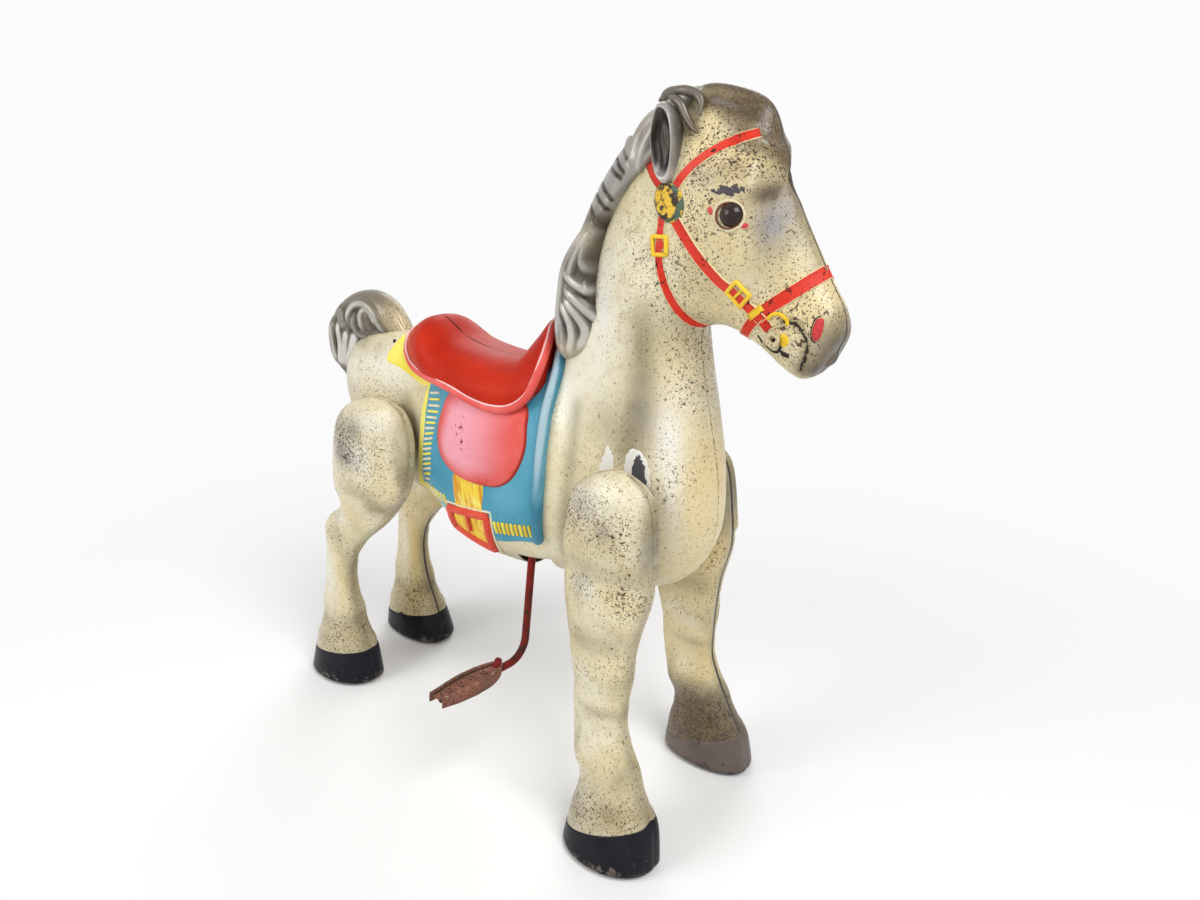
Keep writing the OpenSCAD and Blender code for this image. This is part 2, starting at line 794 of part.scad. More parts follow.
// Wheel with its ratchet ring on the outer side
module wheel(front, left) {
    x = front ? front_hoof_x : rear_hoof_x;
    y = leg_mid(front, wheel_r);
    step = 360 / ratchet_teeth;
    color([0.48, 0.46, 0.43])
        on_side(left)
            translate([x, y, wheel_r])
                rotate([-90, 0, 0])
                    difference() {
                        union() {
                            translate([0, 0, -tyre_w / 2])
                                cylinder(r = wheel_r * 0.7, h = tyre_w, $fn = 64);
                            translate([0, 0, -fork_in + 0.4])
                                cylinder(d = pin_d + 6, h = 2 * fork_in - 0.8, $fn = 40);
                            translate([0, 0, tyre_w / 2 - e])
                                linear_extrude(4 + e)
                                    polygon([
                                        for (i = [0 : ratchet_teeth - 1])
                                            each [
                                                ratchet_r * [cos(i * step), sin(i * step)],
                                                (ratchet_r - 2.2) * [cos(i * step + 3), sin(i * step + 3)]
                                            ]
                                    ]);
                        }
                        translate([0, 0, -fork_in])
                            cylinder(d = pin_d + 2 * run_play, h = 2 * fork_in, $fn = 48);
                    }
}

module tyre(front, left) {
    x = front ? front_hoof_x : rear_hoof_x;
    y = leg_mid(front, wheel_r);
    h = tyre_w / 2;
    r0 = wheel_r * 0.7;
    color([0.1, 0.1, 0.1])
        on_side(left)
            translate([x, y, wheel_r])
                rotate([-90, 0, 0])
                    rotate_extrude($fn = 72)
                        polygon([
                            [r0, -h], [wheel_r - 2.5, -h], [wheel_r - 0.7, -h + 0.8], [wheel_r, -h + 2.6],
                            [wheel_r, h - 2.6], [wheel_r - 0.7, h - 0.8], [wheel_r - 2.5, h], [r0, h]
                        ]);
}

body_left();
body_right();
seam_clips();
spring_hanger();
eye(true);  // eye_left
eye(false);  // eye_right
rein_eyelet(true);  // rein_eyelet_left
rein_eyelet(false);  // rein_eyelet_right
front_axle();
rear_axle();
front_axle_nuts();
rear_axle_nuts();
bush(pf, front_face, true);  // front_bush_left
bush(pf, front_face, false);  // front_bush_right
bush(pr, rear_face, true);  // rear_bush_left
bush(pr, rear_face, false);  // rear_bush_right
return_spring(true);  // return_spring_left
return_spring(false);  // return_spring_right
leg_outer(true, true);  // front_leg_outer_left
leg_inner(true, true);  // front_leg_inner_left
crank(true, true);  // front_crank_left
fork(true, true);  // front_fork_left
wheel_pin(true, true);  // front_pin_left
pawl(true, true);  // front_pawl_left
leg_outer(true, false);  // front_leg_outer_right
leg_inner(true, false);  // front_leg_inner_right
crank(true, false);  // front_crank_right
fork(true, false);  // front_fork_right
wheel_pin(true, false);  // front_pin_right
pawl(true, false);  // front_pawl_right
stirrup_rod(true);  // stirrup_rod_left
stirrup_tread(true);  // stirrup_tread_left
stirrup_rod(false);  // stirrup_rod_right
stirrup_tread(false);  // stirrup_tread_right
leg_outer(false, true);  // rear_leg_outer_left
leg_inner(false, true);  // rear_leg_inner_left
crank(false, true);  // rear_crank_left
fork(false, true);  // rear_fork_left
wheel_pin(false, true);  // rear_pin_left
pawl(false, true);  // rear_pawl_left
leg_outer(false, false);  // rear_leg_outer_right
leg_inner(false, false);  // rear_leg_inner_right
crank(false, false);  // rear_crank_right
fork(false, false);  // rear_fork_right
wheel_pin(false, false);  // rear_pin_right
pawl(false, false);  // rear_pawl_right
wheel(true, true);  // front_wheel_left
tyre(true, true);  // front_tyre_left
wheel(true, false);  // front_wheel_right
tyre(true, false);  // front_tyre_right
wheel(false, true);  // rear_wheel_left
tyre(false, true);  // rear_tyre_left
wheel(false, false);  // rear_wheel_right
tyre(false, false);  // rear_tyre_right
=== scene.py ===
import math
import bpy
import bmesh
import numpy as np
from mathutils import Matrix, Vector
from mathutils.bvhtree import BVHTree
from mathutils.geometry import delaunay_2d_cdt


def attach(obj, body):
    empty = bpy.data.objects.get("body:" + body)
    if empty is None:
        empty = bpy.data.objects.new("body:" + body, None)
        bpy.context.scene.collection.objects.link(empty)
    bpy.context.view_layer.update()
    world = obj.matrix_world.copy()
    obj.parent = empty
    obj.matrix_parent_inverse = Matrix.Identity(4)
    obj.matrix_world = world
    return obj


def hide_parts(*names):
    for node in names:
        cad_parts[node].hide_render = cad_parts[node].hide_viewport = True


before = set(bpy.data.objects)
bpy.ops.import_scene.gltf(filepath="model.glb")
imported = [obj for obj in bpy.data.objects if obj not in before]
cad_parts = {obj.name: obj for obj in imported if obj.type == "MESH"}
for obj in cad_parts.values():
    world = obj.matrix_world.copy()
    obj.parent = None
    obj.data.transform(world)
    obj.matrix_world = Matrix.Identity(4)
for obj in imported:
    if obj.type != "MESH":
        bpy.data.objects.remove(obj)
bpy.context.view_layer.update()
MM = 0.001

# Sections: top x, top z, bottom x, bottom z, half width, skew, fullness
BODY = np.array([
    [-304, 432, -303, 406, 8, 1, 1], [-299, 452, -297, 378, 26, 1, 1], [-282, 474, -279, 342, 37, 1, .9],
    [-250, 486, -246, 310, 42, 1, .85], [-200, 490, -196, 293, 43, 1, .85], [-150, 489, -148, 284, 46, 1, .85],
    [-98, 485, -100, 257, 56, 1, .85], [-34, 479, -36, 244, 65, 1, .85], [24, 482, 28, 248, 66, .95, .85],
    [50, 496, 92, 260, 62, .85, .85], [60, 520, 152, 264, 55, .7, .85], [66, 550, 208, 288, 51, .65, .85],
    [72, 582, 239, 336, 50, .62, .9], [80, 614, 243, 392, 48, .62, 1], [95, 647, 234, 446, 46, .65, 1],
    [114, 680, 223, 494, 43, .7, 1], [138, 710, 216, 532, 41, .8, 1], [166, 735, 219, 551, 41, .85, 1],
    [202, 757, 238, 556, 43, .9, .95], [238, 756, 254, 554, 44, .9, .95], [272, 741, 267, 549, 43, .86, .95],
    [288, 700, 281, 543, 40, .78, .95], [304, 664, 293, 536, 35, .74, .95], [322, 632, 304, 528, 32, .76, .95],
    [337, 606, 313, 523, 30, .82, .9], [350, 585, 322, 521, 28, .9, .85], [354, 566, 332, 525, 23, 1, .8],
    [348, 548, 339, 533, 11, 1, .9]], float)
TAIL = np.array([
    [-328, 409, -310, 404, 10, 1, 1], [-347, 428, -294, 416, 20, 1, .9], [-353, 456, -288, 428, 25, 1, .85],
    [-337, 494, -282, 440, 27, 1, .85], [-304, 519, -272, 450, 27, 1, .85], [-266, 527, -256, 460, 24, 1, .85],
    [-230, 516, -236, 466, 18, 1, .9], [-204, 487, -214, 470, 8, 1, 1]], float)
MANE = np.array([
    [48, 494, 62, 484, 10, 1, 1], [46, 520, 96, 506, 34, .9, .8], [50, 560, 114, 542, 37, .9, .75],
    [57, 598, 128, 576, 37, .9, .75], [78, 632, 140, 606, 35, .9, .75], [98, 670, 152, 640, 33, .9, .75],
    [127, 708, 176, 668, 33, .9, .75], [160, 738, 202, 690, 34, .9, .75], [188, 757, 217, 712, 30, 1, .8],
    [207, 760, 222, 736, 12, 1, 1]], float)
SADDLE = np.array([
    [-180, 494, -178, 474, 14, 1, 1], [-164, 508, -160, 458, 36, .7, .65], [-136, 515, -130, 442, 51, .8, .55],
    [-98, 496, -95, 434, 58, .8, .55], [-57, 488, -52, 430, 61, .8, .55], [-20, 487, -14, 426, 62, .8, .55],
    [6, 496, 24, 426, 61, .7, .6], [22, 518, 52, 434, 57, .6, .7], [33, 534, 76, 458, 46, .6, .8],
    [43, 530, 84, 496, 18, 1, 1]], float)
# Leg sections: front x, front z, rear x, rear z, depth of the outer and of the inner half
FRONT = np.array([
    [184, 415, 166, 415, .2, .2], [204, 404, 142, 405, .62, .62], [214, 386, 124, 388, .88, .9],
    [219, 345, 115, 347, 1, 1], [220, 302, 116, 304, 1, 1], [208, 256, 118, 264, .92, .94],
    [203, 220, 124, 222, .84, .9], [200, 185, 131, 186, .78, .86], [199, 150, 133, 150, .78, .86],
    [209, 118, 138, 118, .84, 1], [221, 90, 148, 90, 1.0, 1.25], [235, 60, 147, 60, 1.32, 1.65],
    [244, 42, 142, 42, 1.55, 1.95], [248, 6, 137, 6, 1.92, 2.05]], float)
REAR = np.array([
    [-172, 417, -200, 417, .2, .2], [-150, 408, -238, 404, .62, .62], [-140, 388, -264, 382, .88, .9],
    [-139, 360, -276, 350, 1, 1], [-148, 316, -284, 306, 1, 1], [-170, 280, -284, 276, .96, .98],
    [-202, 247, -285, 256, .88, .94], [-238, 218, -306, 236, .84, .9], [-260, 195, -318, 206, .82, .88],
    [-274, 160, -324, 164, .78, .86], [-274, 122, -329, 126, .84, 1], [-267, 92, -335, 94, .95, 1.25],
    [-256, 62, -345, 64, 1.32, 1.65], [-249, 42, -352, 42, 1.55, 1.95], [-243, 6, -359, 6, 1.95, 2.05]], float)
PIVOT_Z = 372.0
# Thickness of the sheets, height of the hooves' lower edge
SHEET, HOOF_SKIN, TREAD_SHEET = 1.2, 1.0, 1.5
HOOF_EDGE = 6.0
# Trim plates: how deep their edge and their back lie under the skin
EDGE_SINK, BACK_SINK = .9, 1.6
# Treads: start and length along the foot, first stud, distance and radius of the studs
TREAD_START, TREAD_LENGTH = 40, 95
STUD_FIRST, STUD_STEP, STUD_R = 25, 17, 3.4
SIDES = (1, -1)
WORD = {1: "left", -1: "right"}
# Belly slot for the stirrup rods, in metres: its ends along X, half width and top
SLOT_BACK, SLOT_FRONT, SLOT_HALF, SLOT_TOP = .0145, .0641, .044, .29
# The skin around the slot, which is split along its edges
NEAR_BACK, NEAR_FRONT, NEAR_TOP = -.02, .1, .3
# Stirrup rod: plane, radius, top end, length and tilt of the foot, its two bends (y, z) and their radii
ROD_X, ROD_R, ROD_END, FOOT_LENGTH = 24, 4.5, 36.0, 127
TOP_BEND, FOOT_BEND = 6.4, 26
ROD_LOW, ROD_TOP, ROD_TILT = np.array([48., 143.]), np.array([15.5, PIVOT_Z]), math.radians(5)


# Curves and meshes, in millimetres
def curve(points, k):
    """Catmull-Rom curve through the points, k steps to a span."""
    p = np.asarray(points, float)
    m = len(p) - 1
    out = []
    for i in range(m):
        a, b, c, d = p[max(i - 1, 0)], p[i], p[i + 1], p[min(i + 2, m)]
        for j in range(k):
            t = j / k
            bend = (2 * a - 5 * b + 4 * c - d) * t * t + (3 * b - a - 3 * c + d) * t ** 3
            out.append(.5 * (2 * b + (c - a) * t + bend))
    out.append(p[-1])
    return np.array(out)


def smooth(x, lo, hi):
    """Smooth step from 0 at lo to 1 at hi."""
    t = np.clip((np.asarray(x, float) - lo) / (hi - lo), 0, 1)
    return t * t * (3 - 2 * t)


def lump(p, centre, size):
    """Soft spot: 1 at the centre, falling off over the size."""
    d = (p - np.array(centre, float)) / np.array(size, float)
    return np.exp(-np.sum(d * d, axis=-1))


def track(p, points):
    """Distance of side-view places p from a smooth line, and how far along the line they are (0 to 1)."""
    c = curve(points, 6)
    seg = np.linalg.norm(np.diff(c, axis=0), axis=1)
    at = np.concatenate([[0], np.cumsum(seg)]) / seg.sum()
    best = np.full(p.shape[:-1], 1e9)
    where = np.zeros(p.shape[:-1])
    for i in range(len(c) - 1):
        a, b = c[i], c[i + 1]
        t = np.clip(((p - a) @ (b - a)) / max((b - a) @ (b - a), 1e-9), 0, 1)
        d = np.linalg.norm(p - a - t[..., None] * (b - a), axis=-1)
        closer = d < best
        best = np.where(closer, d, best)
        where = np.where(closer, at[i] + t * (at[i + 1] - at[i]), where)
    return best, where


def trail(p, points, width):
    """1 on the line through the side-view points, falling to 0 over the width."""
    return np.exp(-(track(p, points)[0] / width) ** 2)


def strands(p, paths):
    """Carved hair: the highest of the rounded ridges along the paths (points, half width, height)."""
    h = np.zeros(p.shape[:-1])
    for points, width, height in paths:
        d, s = track(p, points)
        taper = np.clip(np.minimum((s + .03) / .18, (1.03 - s) / .25), .1, 1) ** .6
        h = np.maximum(h, height * taper * np.clip(1 - (d / (width * taper)) ** 2, 0, 1) ** .75)
    return h


def within(p, ring):
    """Whether side-view places p lie inside the ring."""
    ring = np.asarray(ring, float)
    out = np.zeros(p.shape[:-1], bool)
    for a, b in zip(ring, np.roll(ring, -1, 0)):
        if a[1] != b[1]:
            cross = (a[1] > p[..., 1]) != (b[1] > p[..., 1])
            out ^= cross & (p[..., 0] < a[0] + (p[..., 1] - a[1]) * (b[0] - a[0]) / (b[1] - a[1]))
    return out


def section(rows, t):
    """Points of each row's section at the angles t, from the top (0) round the left side to the bottom (pi)."""
    q = ((1 - np.cos(t))[None, :] / 2) ** rows[:, 5:6]
    x = rows[:, 0:1] + (rows[:, 2:3] - rows[:, 0:1]) * q
    z = rows[:, 1:2] + (rows[:, 3:4] - rows[:, 1:2]) * q
    s = np.sin(t)[None, :]
    y = np.maximum(rows[:, 4:5], .6) * np.sign(s) * np.abs(s) ** rows[:, 6:7]
    return np.stack([x, y, z], -1)


def grid_faces(m, n, around=False):
    i, j = np.meshgrid(np.arange(m - 1), np.arange(n if around else n - 1), indexing="ij")
    k = (j + 1) % n
    return np.stack([i * n + j, i * n + k, (i + 1) * n + k, (i + 1) * n + j], -1).reshape(-1, 4)


def drum_faces(m, n):
    """Faces of m rings of n points with both ends closed."""
    return [list(q) for q in grid_faces(m, n, True)] + [list(range(n)), list(range((m - 1) * n, m * n))]


def grid_normals(g, around=False):
    du = np.gradient(g, axis=0)
    if around:
        dv = (np.roll(g, -1, 1) - np.roll(g, 1, 1)) / 2
    else:
        dv = np.gradient(g, axis=1)
    n = np.cross(du, dv)
    return n / np.maximum(np.linalg.norm(n, axis=-1, keepdims=True), 1e-9)


def link(name, data):
    ob = bpy.data.objects.new(name, data)
    bpy.context.scene.collection.objects.link(ob)
    return ob


def piece(name, verts, faces, mat, body, attrs, outward=True):
    """Mesh object that rides a body. Each of attrs is a paint mask: one number, or one for each vertex."""
    me = bpy.data.meshes.new(name)
    me.from_pydata((np.asarray(verts, float).reshape(-1, 3) * MM).tolist(), [], [list(map(int, f)) for f in faces])
    for key, val in attrs.items():
        a = me.attributes.new(key, "FLOAT", "POINT")
        a.data.foreach_set("value", np.full(len(me.vertices), np.ravel(val), np.float32))
    if outward:
        bm = bmesh.new()
        bm.from_mesh(me)
        bmesh.ops.recalc_face_normals(bm, faces=bm.faces)
        bm.to_mesh(me)
        bm.free()
    me.polygons.foreach_set("use_smooth", [True] * len(me.polygons))
    me.materials.append(mat)
    ob = link(name, me)
    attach(ob, body)
    return ob


def loft(rows, k, n, relief):
    """Closed skin through the sections, raised by the relief: vertices and faces."""
    g = section(curve(rows, k), 2 * np.pi * (np.arange(n) + .5) / n)
    g = g + grid_normals(g, True) * relief(g)[..., None]
    return g.reshape(-1, 3), drum_faces(len(g), n)


def tube(path, radius, n):
    """Swept round bar with closed, rounded ends. radius is one number or one for each point."""
    p = np.asarray(path, float)
    r = np.broadcast_to(np.asarray(radius, float), (len(p),))
    d = np.gradient(p, axis=0)
    d /= np.linalg.norm(d, axis=1, keepdims=True)
    u = np.array([0, 0, 1.0])
    if abs(d[0] @ u) > .95:
        u = np.array([1.0, 0, 0])
    a = 2 * np.pi * np.arange(n)[:, None] / n
    rings = []
    for i in range(len(p)):
        u = u - d[i] * (d[i] @ u)
        u /= np.linalg.norm(u)
        rings.append(p[i] + r[i] * (np.cos(a) * u + np.sin(a) * np.cross(d[i], u)))
    ends = []
    for i, s in ((0, -1), (-1, 1)):
        c = rings[i].mean(0)
        ends.append(c + (rings[i] - c) * .72 + s * d[i] * r[i] * .5)
    rings = [ends[0]] + rings + [ends[1]]
    return np.concatenate(rings), drum_faces(len(rings), n)


def mirrored(v, side):
    w = np.array(v, float).reshape(-1, 3)
    w[:, 1] *= side
    return w


def pressed(ob, sheet, out, edit=None):
    """Gives the open skin ob a thickness, after edit and with its faces turned so that out sums above zero."""
    bm = bmesh.new()
    bm.from_mesh(ob.data)
    if edit:
        edit(bm)
    bm.normal_update()
    if sum(out(f) for f in bm.faces) < 0:
        bmesh.ops.reverse_faces(bm, faces=bm.faces)
    bm.to_mesh(ob.data)
    bm.free()
    ob.data.polygons.foreach_set("use_smooth", [True] * len(ob.data.polygons))
    mod = ob.modifiers.new("sheet", "SOLIDIFY")
    mod.thickness = sheet * MM
    mod.offset = -1.0
    mod.use_quality_normals = True


# Materials
class Paint:
    """A Principled material with helpers for its procedural detail."""

    def __init__(self, name, **sockets):
        self.m = bpy.data.materials.new(name)
        self.m.use_nodes = True
        self.t = self.m.node_tree
        self.b = self.t.nodes["Principled BSDF"]
        self.place = self.add("ShaderNodeTexCoord").outputs["Object"]
        for key, val in sockets.items():
            self.b.inputs[key.replace("_", " ")].default_value = val

    def add(self, kind, **props):
        n = self.t.nodes.new(kind)
        for key, val in props.items():
            setattr(n, key, val)
        return n

    def put(self, socket, value):
        if hasattr(value, "links"):
            self.t.links.new(value, socket)
        else:
            socket.default_value = value

    def noise(self, scale, detail, rough=.5, at=None):
        n = self.add("ShaderNodeTexNoise")
        n.inputs["Scale"].default_value = scale
        n.inputs["Detail"].default_value = detail
        n.inputs["Roughness"].default_value = rough
        self.t.links.new(at or self.place, n.inputs["Vector"])
        return n.outputs["Fac"]

    def calc(self, op, a, b):
        n = self.add("ShaderNodeMath", operation=op)
        self.put(n.inputs[0], a)
        self.put(n.inputs[1], b)
        return n.outputs[0]

    def mul(self, a, b):
        return self.calc("MULTIPLY", a, b)

    def plus(self, a, b):
        return self.calc("ADD", a, b)

    def most(self, a, b):
        return self.calc("MAXIMUM", a, b)

    def sway(self, size, *noise):
        """Noise about zero."""
        return self.mul(self.calc("SUBTRACT", self.noise(*noise), .5), size)

    def step(self, x, lo, hi):
        n = self.add("ShaderNodeMapRange", interpolation_type="SMOOTHSTEP")
        for s, v in zip(n.inputs, (x, lo, hi, 0.0, 1.0)):
            self.put(s, v)
        return n.outputs[0]

    def mix(self, f, a, b):
        n = self.add("ShaderNodeMix", data_type="RGBA")
        self.put(n.inputs[0], f)
        for s, v in ((n.inputs[6], a), (n.inputs[7], b)):
            self.put(s, (*v, 1.0) if isinstance(v, tuple) and len(v) == 3 else v)
        return n.outputs[2]

    def attr(self, name):
        return self.add("ShaderNodeAttribute", attribute_name=name).outputs["Fac"]

    def axis(self, k):
        n = self.add("ShaderNodeSeparateXYZ")
        self.t.links.new(self.place, n.inputs[0])
        return n.outputs[k]

    def done(self, colour, rough=None, height=None, strength=.3, depth=.001, metal=None):
        self.put(self.b.inputs["Base Color"], colour)
        if rough is not None:
            self.put(self.b.inputs["Roughness"], rough)
        if metal is not None:
            self.put(self.b.inputs["Metallic"], metal)
        if height is not None:
            n = self.add("ShaderNodeBump")
            n.inputs["Strength"].default_value = strength
            n.inputs["Distance"].default_value = depth
            self.put(n.inputs["Height"], height)
            self.t.links.new(n.outputs[0], self.b.inputs["Normal"])
        return self.m


def speckle(p, amount):
    """Rust through worn enamel: fine dots, pits and blotches. amount is a socket or number, 0 to about 1."""
    drift = p.sway(1.3, 17, 3)
    dens = p.plus(amount, drift)
    fine = p.noise(560, 2, .6)
    mid = p.noise(260, 3, .65)
    big = p.noise(75, 4, .7)
    a = p.step(p.plus(fine, p.mul(dens, .16)), .728, .765)
    b = p.step(p.plus(mid, p.mul(dens, .15)), .745, .78)
    c = p.step(p.plus(big, p.mul(dens, .13)), .80, .84)
    m = p.most(p.most(a, b), c)
    return m, p.step(p.plus(mid, p.mul(dens, .16)), .62, .80)


def rust_colour(p):
    return p.mix(p.noise(300, 3), (.03, .019, .013), (.115, .066, .036))


def ragged(p, amount, scale=160, spread=.9):
    """A mask with a torn edge where amount passes one half."""
    return p.step(p.plus(amount, p.sway(spread, scale, 4, .7)), .47, .56)


def cream_enamel(name):
    p = Paint(name, Coat_Weight=.15, Coat_Roughness=.16, Specular_IOR_Level=.35)
    base = p.mix(p.step(p.noise(11, 4), .36, .64), (.78, .69, .44), (.84, .785, .58))
    base = p.mix(p.mul(p.step(p.noise(38, 4, .6), .46, .72), .5), base, (.56, .44, .22))
    base = p.mix(p.mul(p.step(p.noise(130, 4, .7), .5, .66), .3), base, (.50, .41, .23))
    base = p.mix(p.attr("ochre"), base, (.72, .56, .25))
    # light: painted highlights, a paler cream where the lamps catch the enamel
    base = p.mix(p.attr("light"), base, (.89, .87, .79))
    drift = p.plus(p.mul(p.noise(30, 4, .6), .9), .55)
    # shade: airbrushed olive tone, and painted shade in creases, gaps, under the belly and on the legs' sides
    base = p.mix(p.mul(p.attr("shade"), drift), base, (.27, .225, .12))
    base = p.mix(p.mul(p.attr("smoke"), drift), base, (.165, .158, .165))
    # stain: brown stains, and a painted shadow in the gap beside the thigh
    base = p.mix(p.mul(p.attr("stain_and_shadow"), drift), base, (.075, .05, .024))
    m, halo = speckle(p, p.attr("rust"))
    base = p.mix(p.mul(halo, .42), base, (.36, .26, .12))
    base = p.mix(m, base, rust_colour(p))
    chip = ragged(p, p.attr("chip"))
    base = p.mix(chip, base, p.mix(p.noise(70, 3), (.028, .024, .028), (.08, .072, .08)))
    base = p.mix(ragged(p, p.attr("seam"), 240, .8), base, (.045, .034, .024))
    m = p.most(m, chip)
    rough = p.plus(p.mul(m, .35), p.plus(p.mul(p.noise(45, 3), .16), .24))
    height = p.plus(p.mul(m, -.5), p.mul(p.noise(90, 4), .35))
    return p.done(base, rough, height, .35, .0008)


def hoof_enamel(name, dark, light, chips):
    p = Paint(name, Specular_IOR_Level=.12)
    base = p.mix(p.noise(40, 4), dark, light)
    chip = p.step(p.plus(p.noise(120, 5, .75), p.attr("worn")), .70, .76)
    base = p.mix(chip, base, chips)
    rough = p.plus(p.mul(chip, .35), p.plus(p.mul(p.noise(60, 3), .2), .24))
    return p.done(base, rough, p.plus(p.mul(chip, -.4), p.noise(100, 4)), .3, .0006)


def worn_enamel(name, colour, light, wear, rust=.05, rim=None, rim_at=(0.0, 1.2), painted_highlight=None, painted_highlight_at=(6.0, 26.0),
                rough=.32):
    """Plain enamel with tone drift and rust specks. rim is the colour along the edge; a painted highlight colour,
    where given, tints the middle and fades out towards the front.
    """
    p = Paint(name, Specular_IOR_Level=.06)
    base = p.mix(p.step(p.noise(14, 4), .35, .68), colour, light)
    if painted_highlight is not None:
        inner = p.step(p.plus(p.attr("rim"), p.mul(p.noise(25, 3), 14.0)), *painted_highlight_at)
        base = p.mix(p.mul(inner, p.step(p.axis(0), .045, -.05)), base, painted_highlight)
    if rim is not None:
        edge = p.plus(p.attr("rim"), p.sway(1.1, 220, 3))
        base = p.mix(p.step(edge, rim_at[1], rim_at[0]), base, rim)
    worn = p.step(p.plus(p.noise(130, 4, .7), p.attr("wear")), .70, .76)
    base = p.mix(worn, base, wear)
    m, halo = speckle(p, rust)
    base = p.mix(p.mul(halo, .22), base, wear)
    base = p.mix(m, base, rust_colour(p))
    r = p.plus(p.mul(p.most(m, worn), .3), p.plus(p.mul(p.noise(60, 3), .14), rough - .07))
    height = p.plus(p.mul(p.most(m, worn), -.4), p.mul(p.noise(120, 4), .3))
    return p.done(base, r, height, .3, .0006)


def steel(name, colour, metal=.9, rust=.2, rough=.4):
    p = Paint(name)
    base = p.mix(p.noise(35, 4), colour, tuple(c * .6 for c in colour))
    m, halo = speckle(p, rust)
    base = p.mix(halo, base, (.12, .06, .03))
    base = p.mix(m, base, (.06, .028, .014))
    r = p.plus(p.mul(halo, .35), rough)
    return p.done(base, r, p.noise(260, 4), .25, .0005, p.mul(p.calc("SUBTRACT", 1.0, halo), metal))


def hair_grey(name, dark, light, brown, root=(.70, .63, .45)):
    """Grey airbrushed hair: silver paint with painted highlights on the ridges, brown-black painted shade in the
    grooves, cream where it runs out.
    """
    p = Paint(name, Metallic=.25, Specular_IOR_Level=.3)
    base = p.mix(p.plus(p.attr("ridge"), p.sway(.35, 40, 4, .6)), dark, light)
    base = p.mix(p.attr("shade"), base, brown)
    base = p.mix(p.mul(p.step(p.noise(24, 4), .48, .7), .35), base, brown)
    base = p.mix(p.attr("pale"), base, root)
    m, halo = speckle(p, p.attr("rust"))
    base = p.mix(p.mul(halo, .4), base, (.10, .07, .04))
    base = p.mix(m, base, rust_colour(p))
    r = p.plus(p.mul(p.noise(70, 3), .2), .22)
    return p.done(base, r, p.plus(p.mul(m, -.4), p.mul(p.noise(150, 4), .35)), .3, .0007)


CREAM = cream_enamel("cream_enamel_worn")
HOOF = hoof_enamel("hoof_black", (.005, .005, .008), (.017, .017, .023), (.13, .11, .09))
HOOF_DUSTY = hoof_enamel("hoof_dusty", (.10, .078, .066), (.19, .155, .135), (.045, .038, .034))
SEAT = worn_enamel("seat_red", (.42, .018, .006), (.53, .030, .010), (.14, .022, .012), .15, rough=.34)
ROD = worn_enamel("rod_red", (.13, .020, .016), (.30, .024, .020), (.06, .028, .02), .5)
TREAD = worn_enamel("tread_rust", (.17, .085, .060), (.32, .12, .09), (.33, .25, .18), .8, (.05, .032, .024),
                    (.8, 2.4), rough=.55)
MANE_M = hair_grey("mane_grey", (.013, .010, .008), (.60, .585, .545), (.14, .105, .062))
TAIL_M = hair_grey("tail_grey", (.034, .027, .018), (.72, .70, .65), (.20, .16, .10), (.52, .43, .26))
STEEL = steel("plain_steel_dull", (.42, .41, .39))
SPRING = steel("spring_steel_drawn", (.50, .50, .52), .95, .05, .3)
BRASS = steel("brass_dull", (.55, .40, .16), .9, .02, .35)


def gloss_eye():
    p = Paint("black_eye_gloss", Coat_Weight=.22, Coat_Roughness=.06, Specular_IOR_Level=.2)
    base = p.mix(p.noise(60, 3), (.012, .006, .004), (.034, .017, .010))
    return p.done(base, p.plus(p.mul(p.noise(200, 3), .1), .08), p.noise(400, 2), .04, .0003)


def rubber():
    p = Paint("tyre_rubber")
    base = p.mix(p.noise(50, 4), (.018, .018, .018), (.05, .047, .043))
    return p.done(base, p.plus(p.mul(p.noise(120, 4), .2), .65), p.noise(300, 4), .3, .0006)


EYE = gloss_eye()
TYRE = rubber()


# Body skin: two mirrored half shells
def angles(n):
    """n angles from 0 to pi, closer together at both ends."""
    s = np.linspace(0, 1, n)
    return np.pi * (s - .125 * np.sin(2 * np.pi * s))


ANGLES = angles(92)
BROW = np.array([(225, 738), (246, 722), (258, 712), (268, 708), (276, 706), (284, 701), (289, 696), (296, 684)],
                float)
MOUTH = [(311, 573), (317, 573.5), (323, 571), (328, 566), (331.5, 559), (332, 551), (330, 542), (326, 533)]
JAW_CURL = [(287, 557), (291, 550), (297, 546), (304, 546), (309, 550), (310, 556)]
# Forms of the head: height, place, size, and from which to which half width they come in
HEAD_LUMPS = ((3.0, (228, 612), (26, 34), 12, 30), (2.4, (258, 676), (22, 8), 10, 25),
              (1.5, (260, 638), (18, 7), 10, 25), (-1.6, (284, 636), (13, 22), 10, 22),
              (2.0, (336, 572), (12, 15), 8, 18), (1.8, (318, 540), (22, 9), 5, 15))


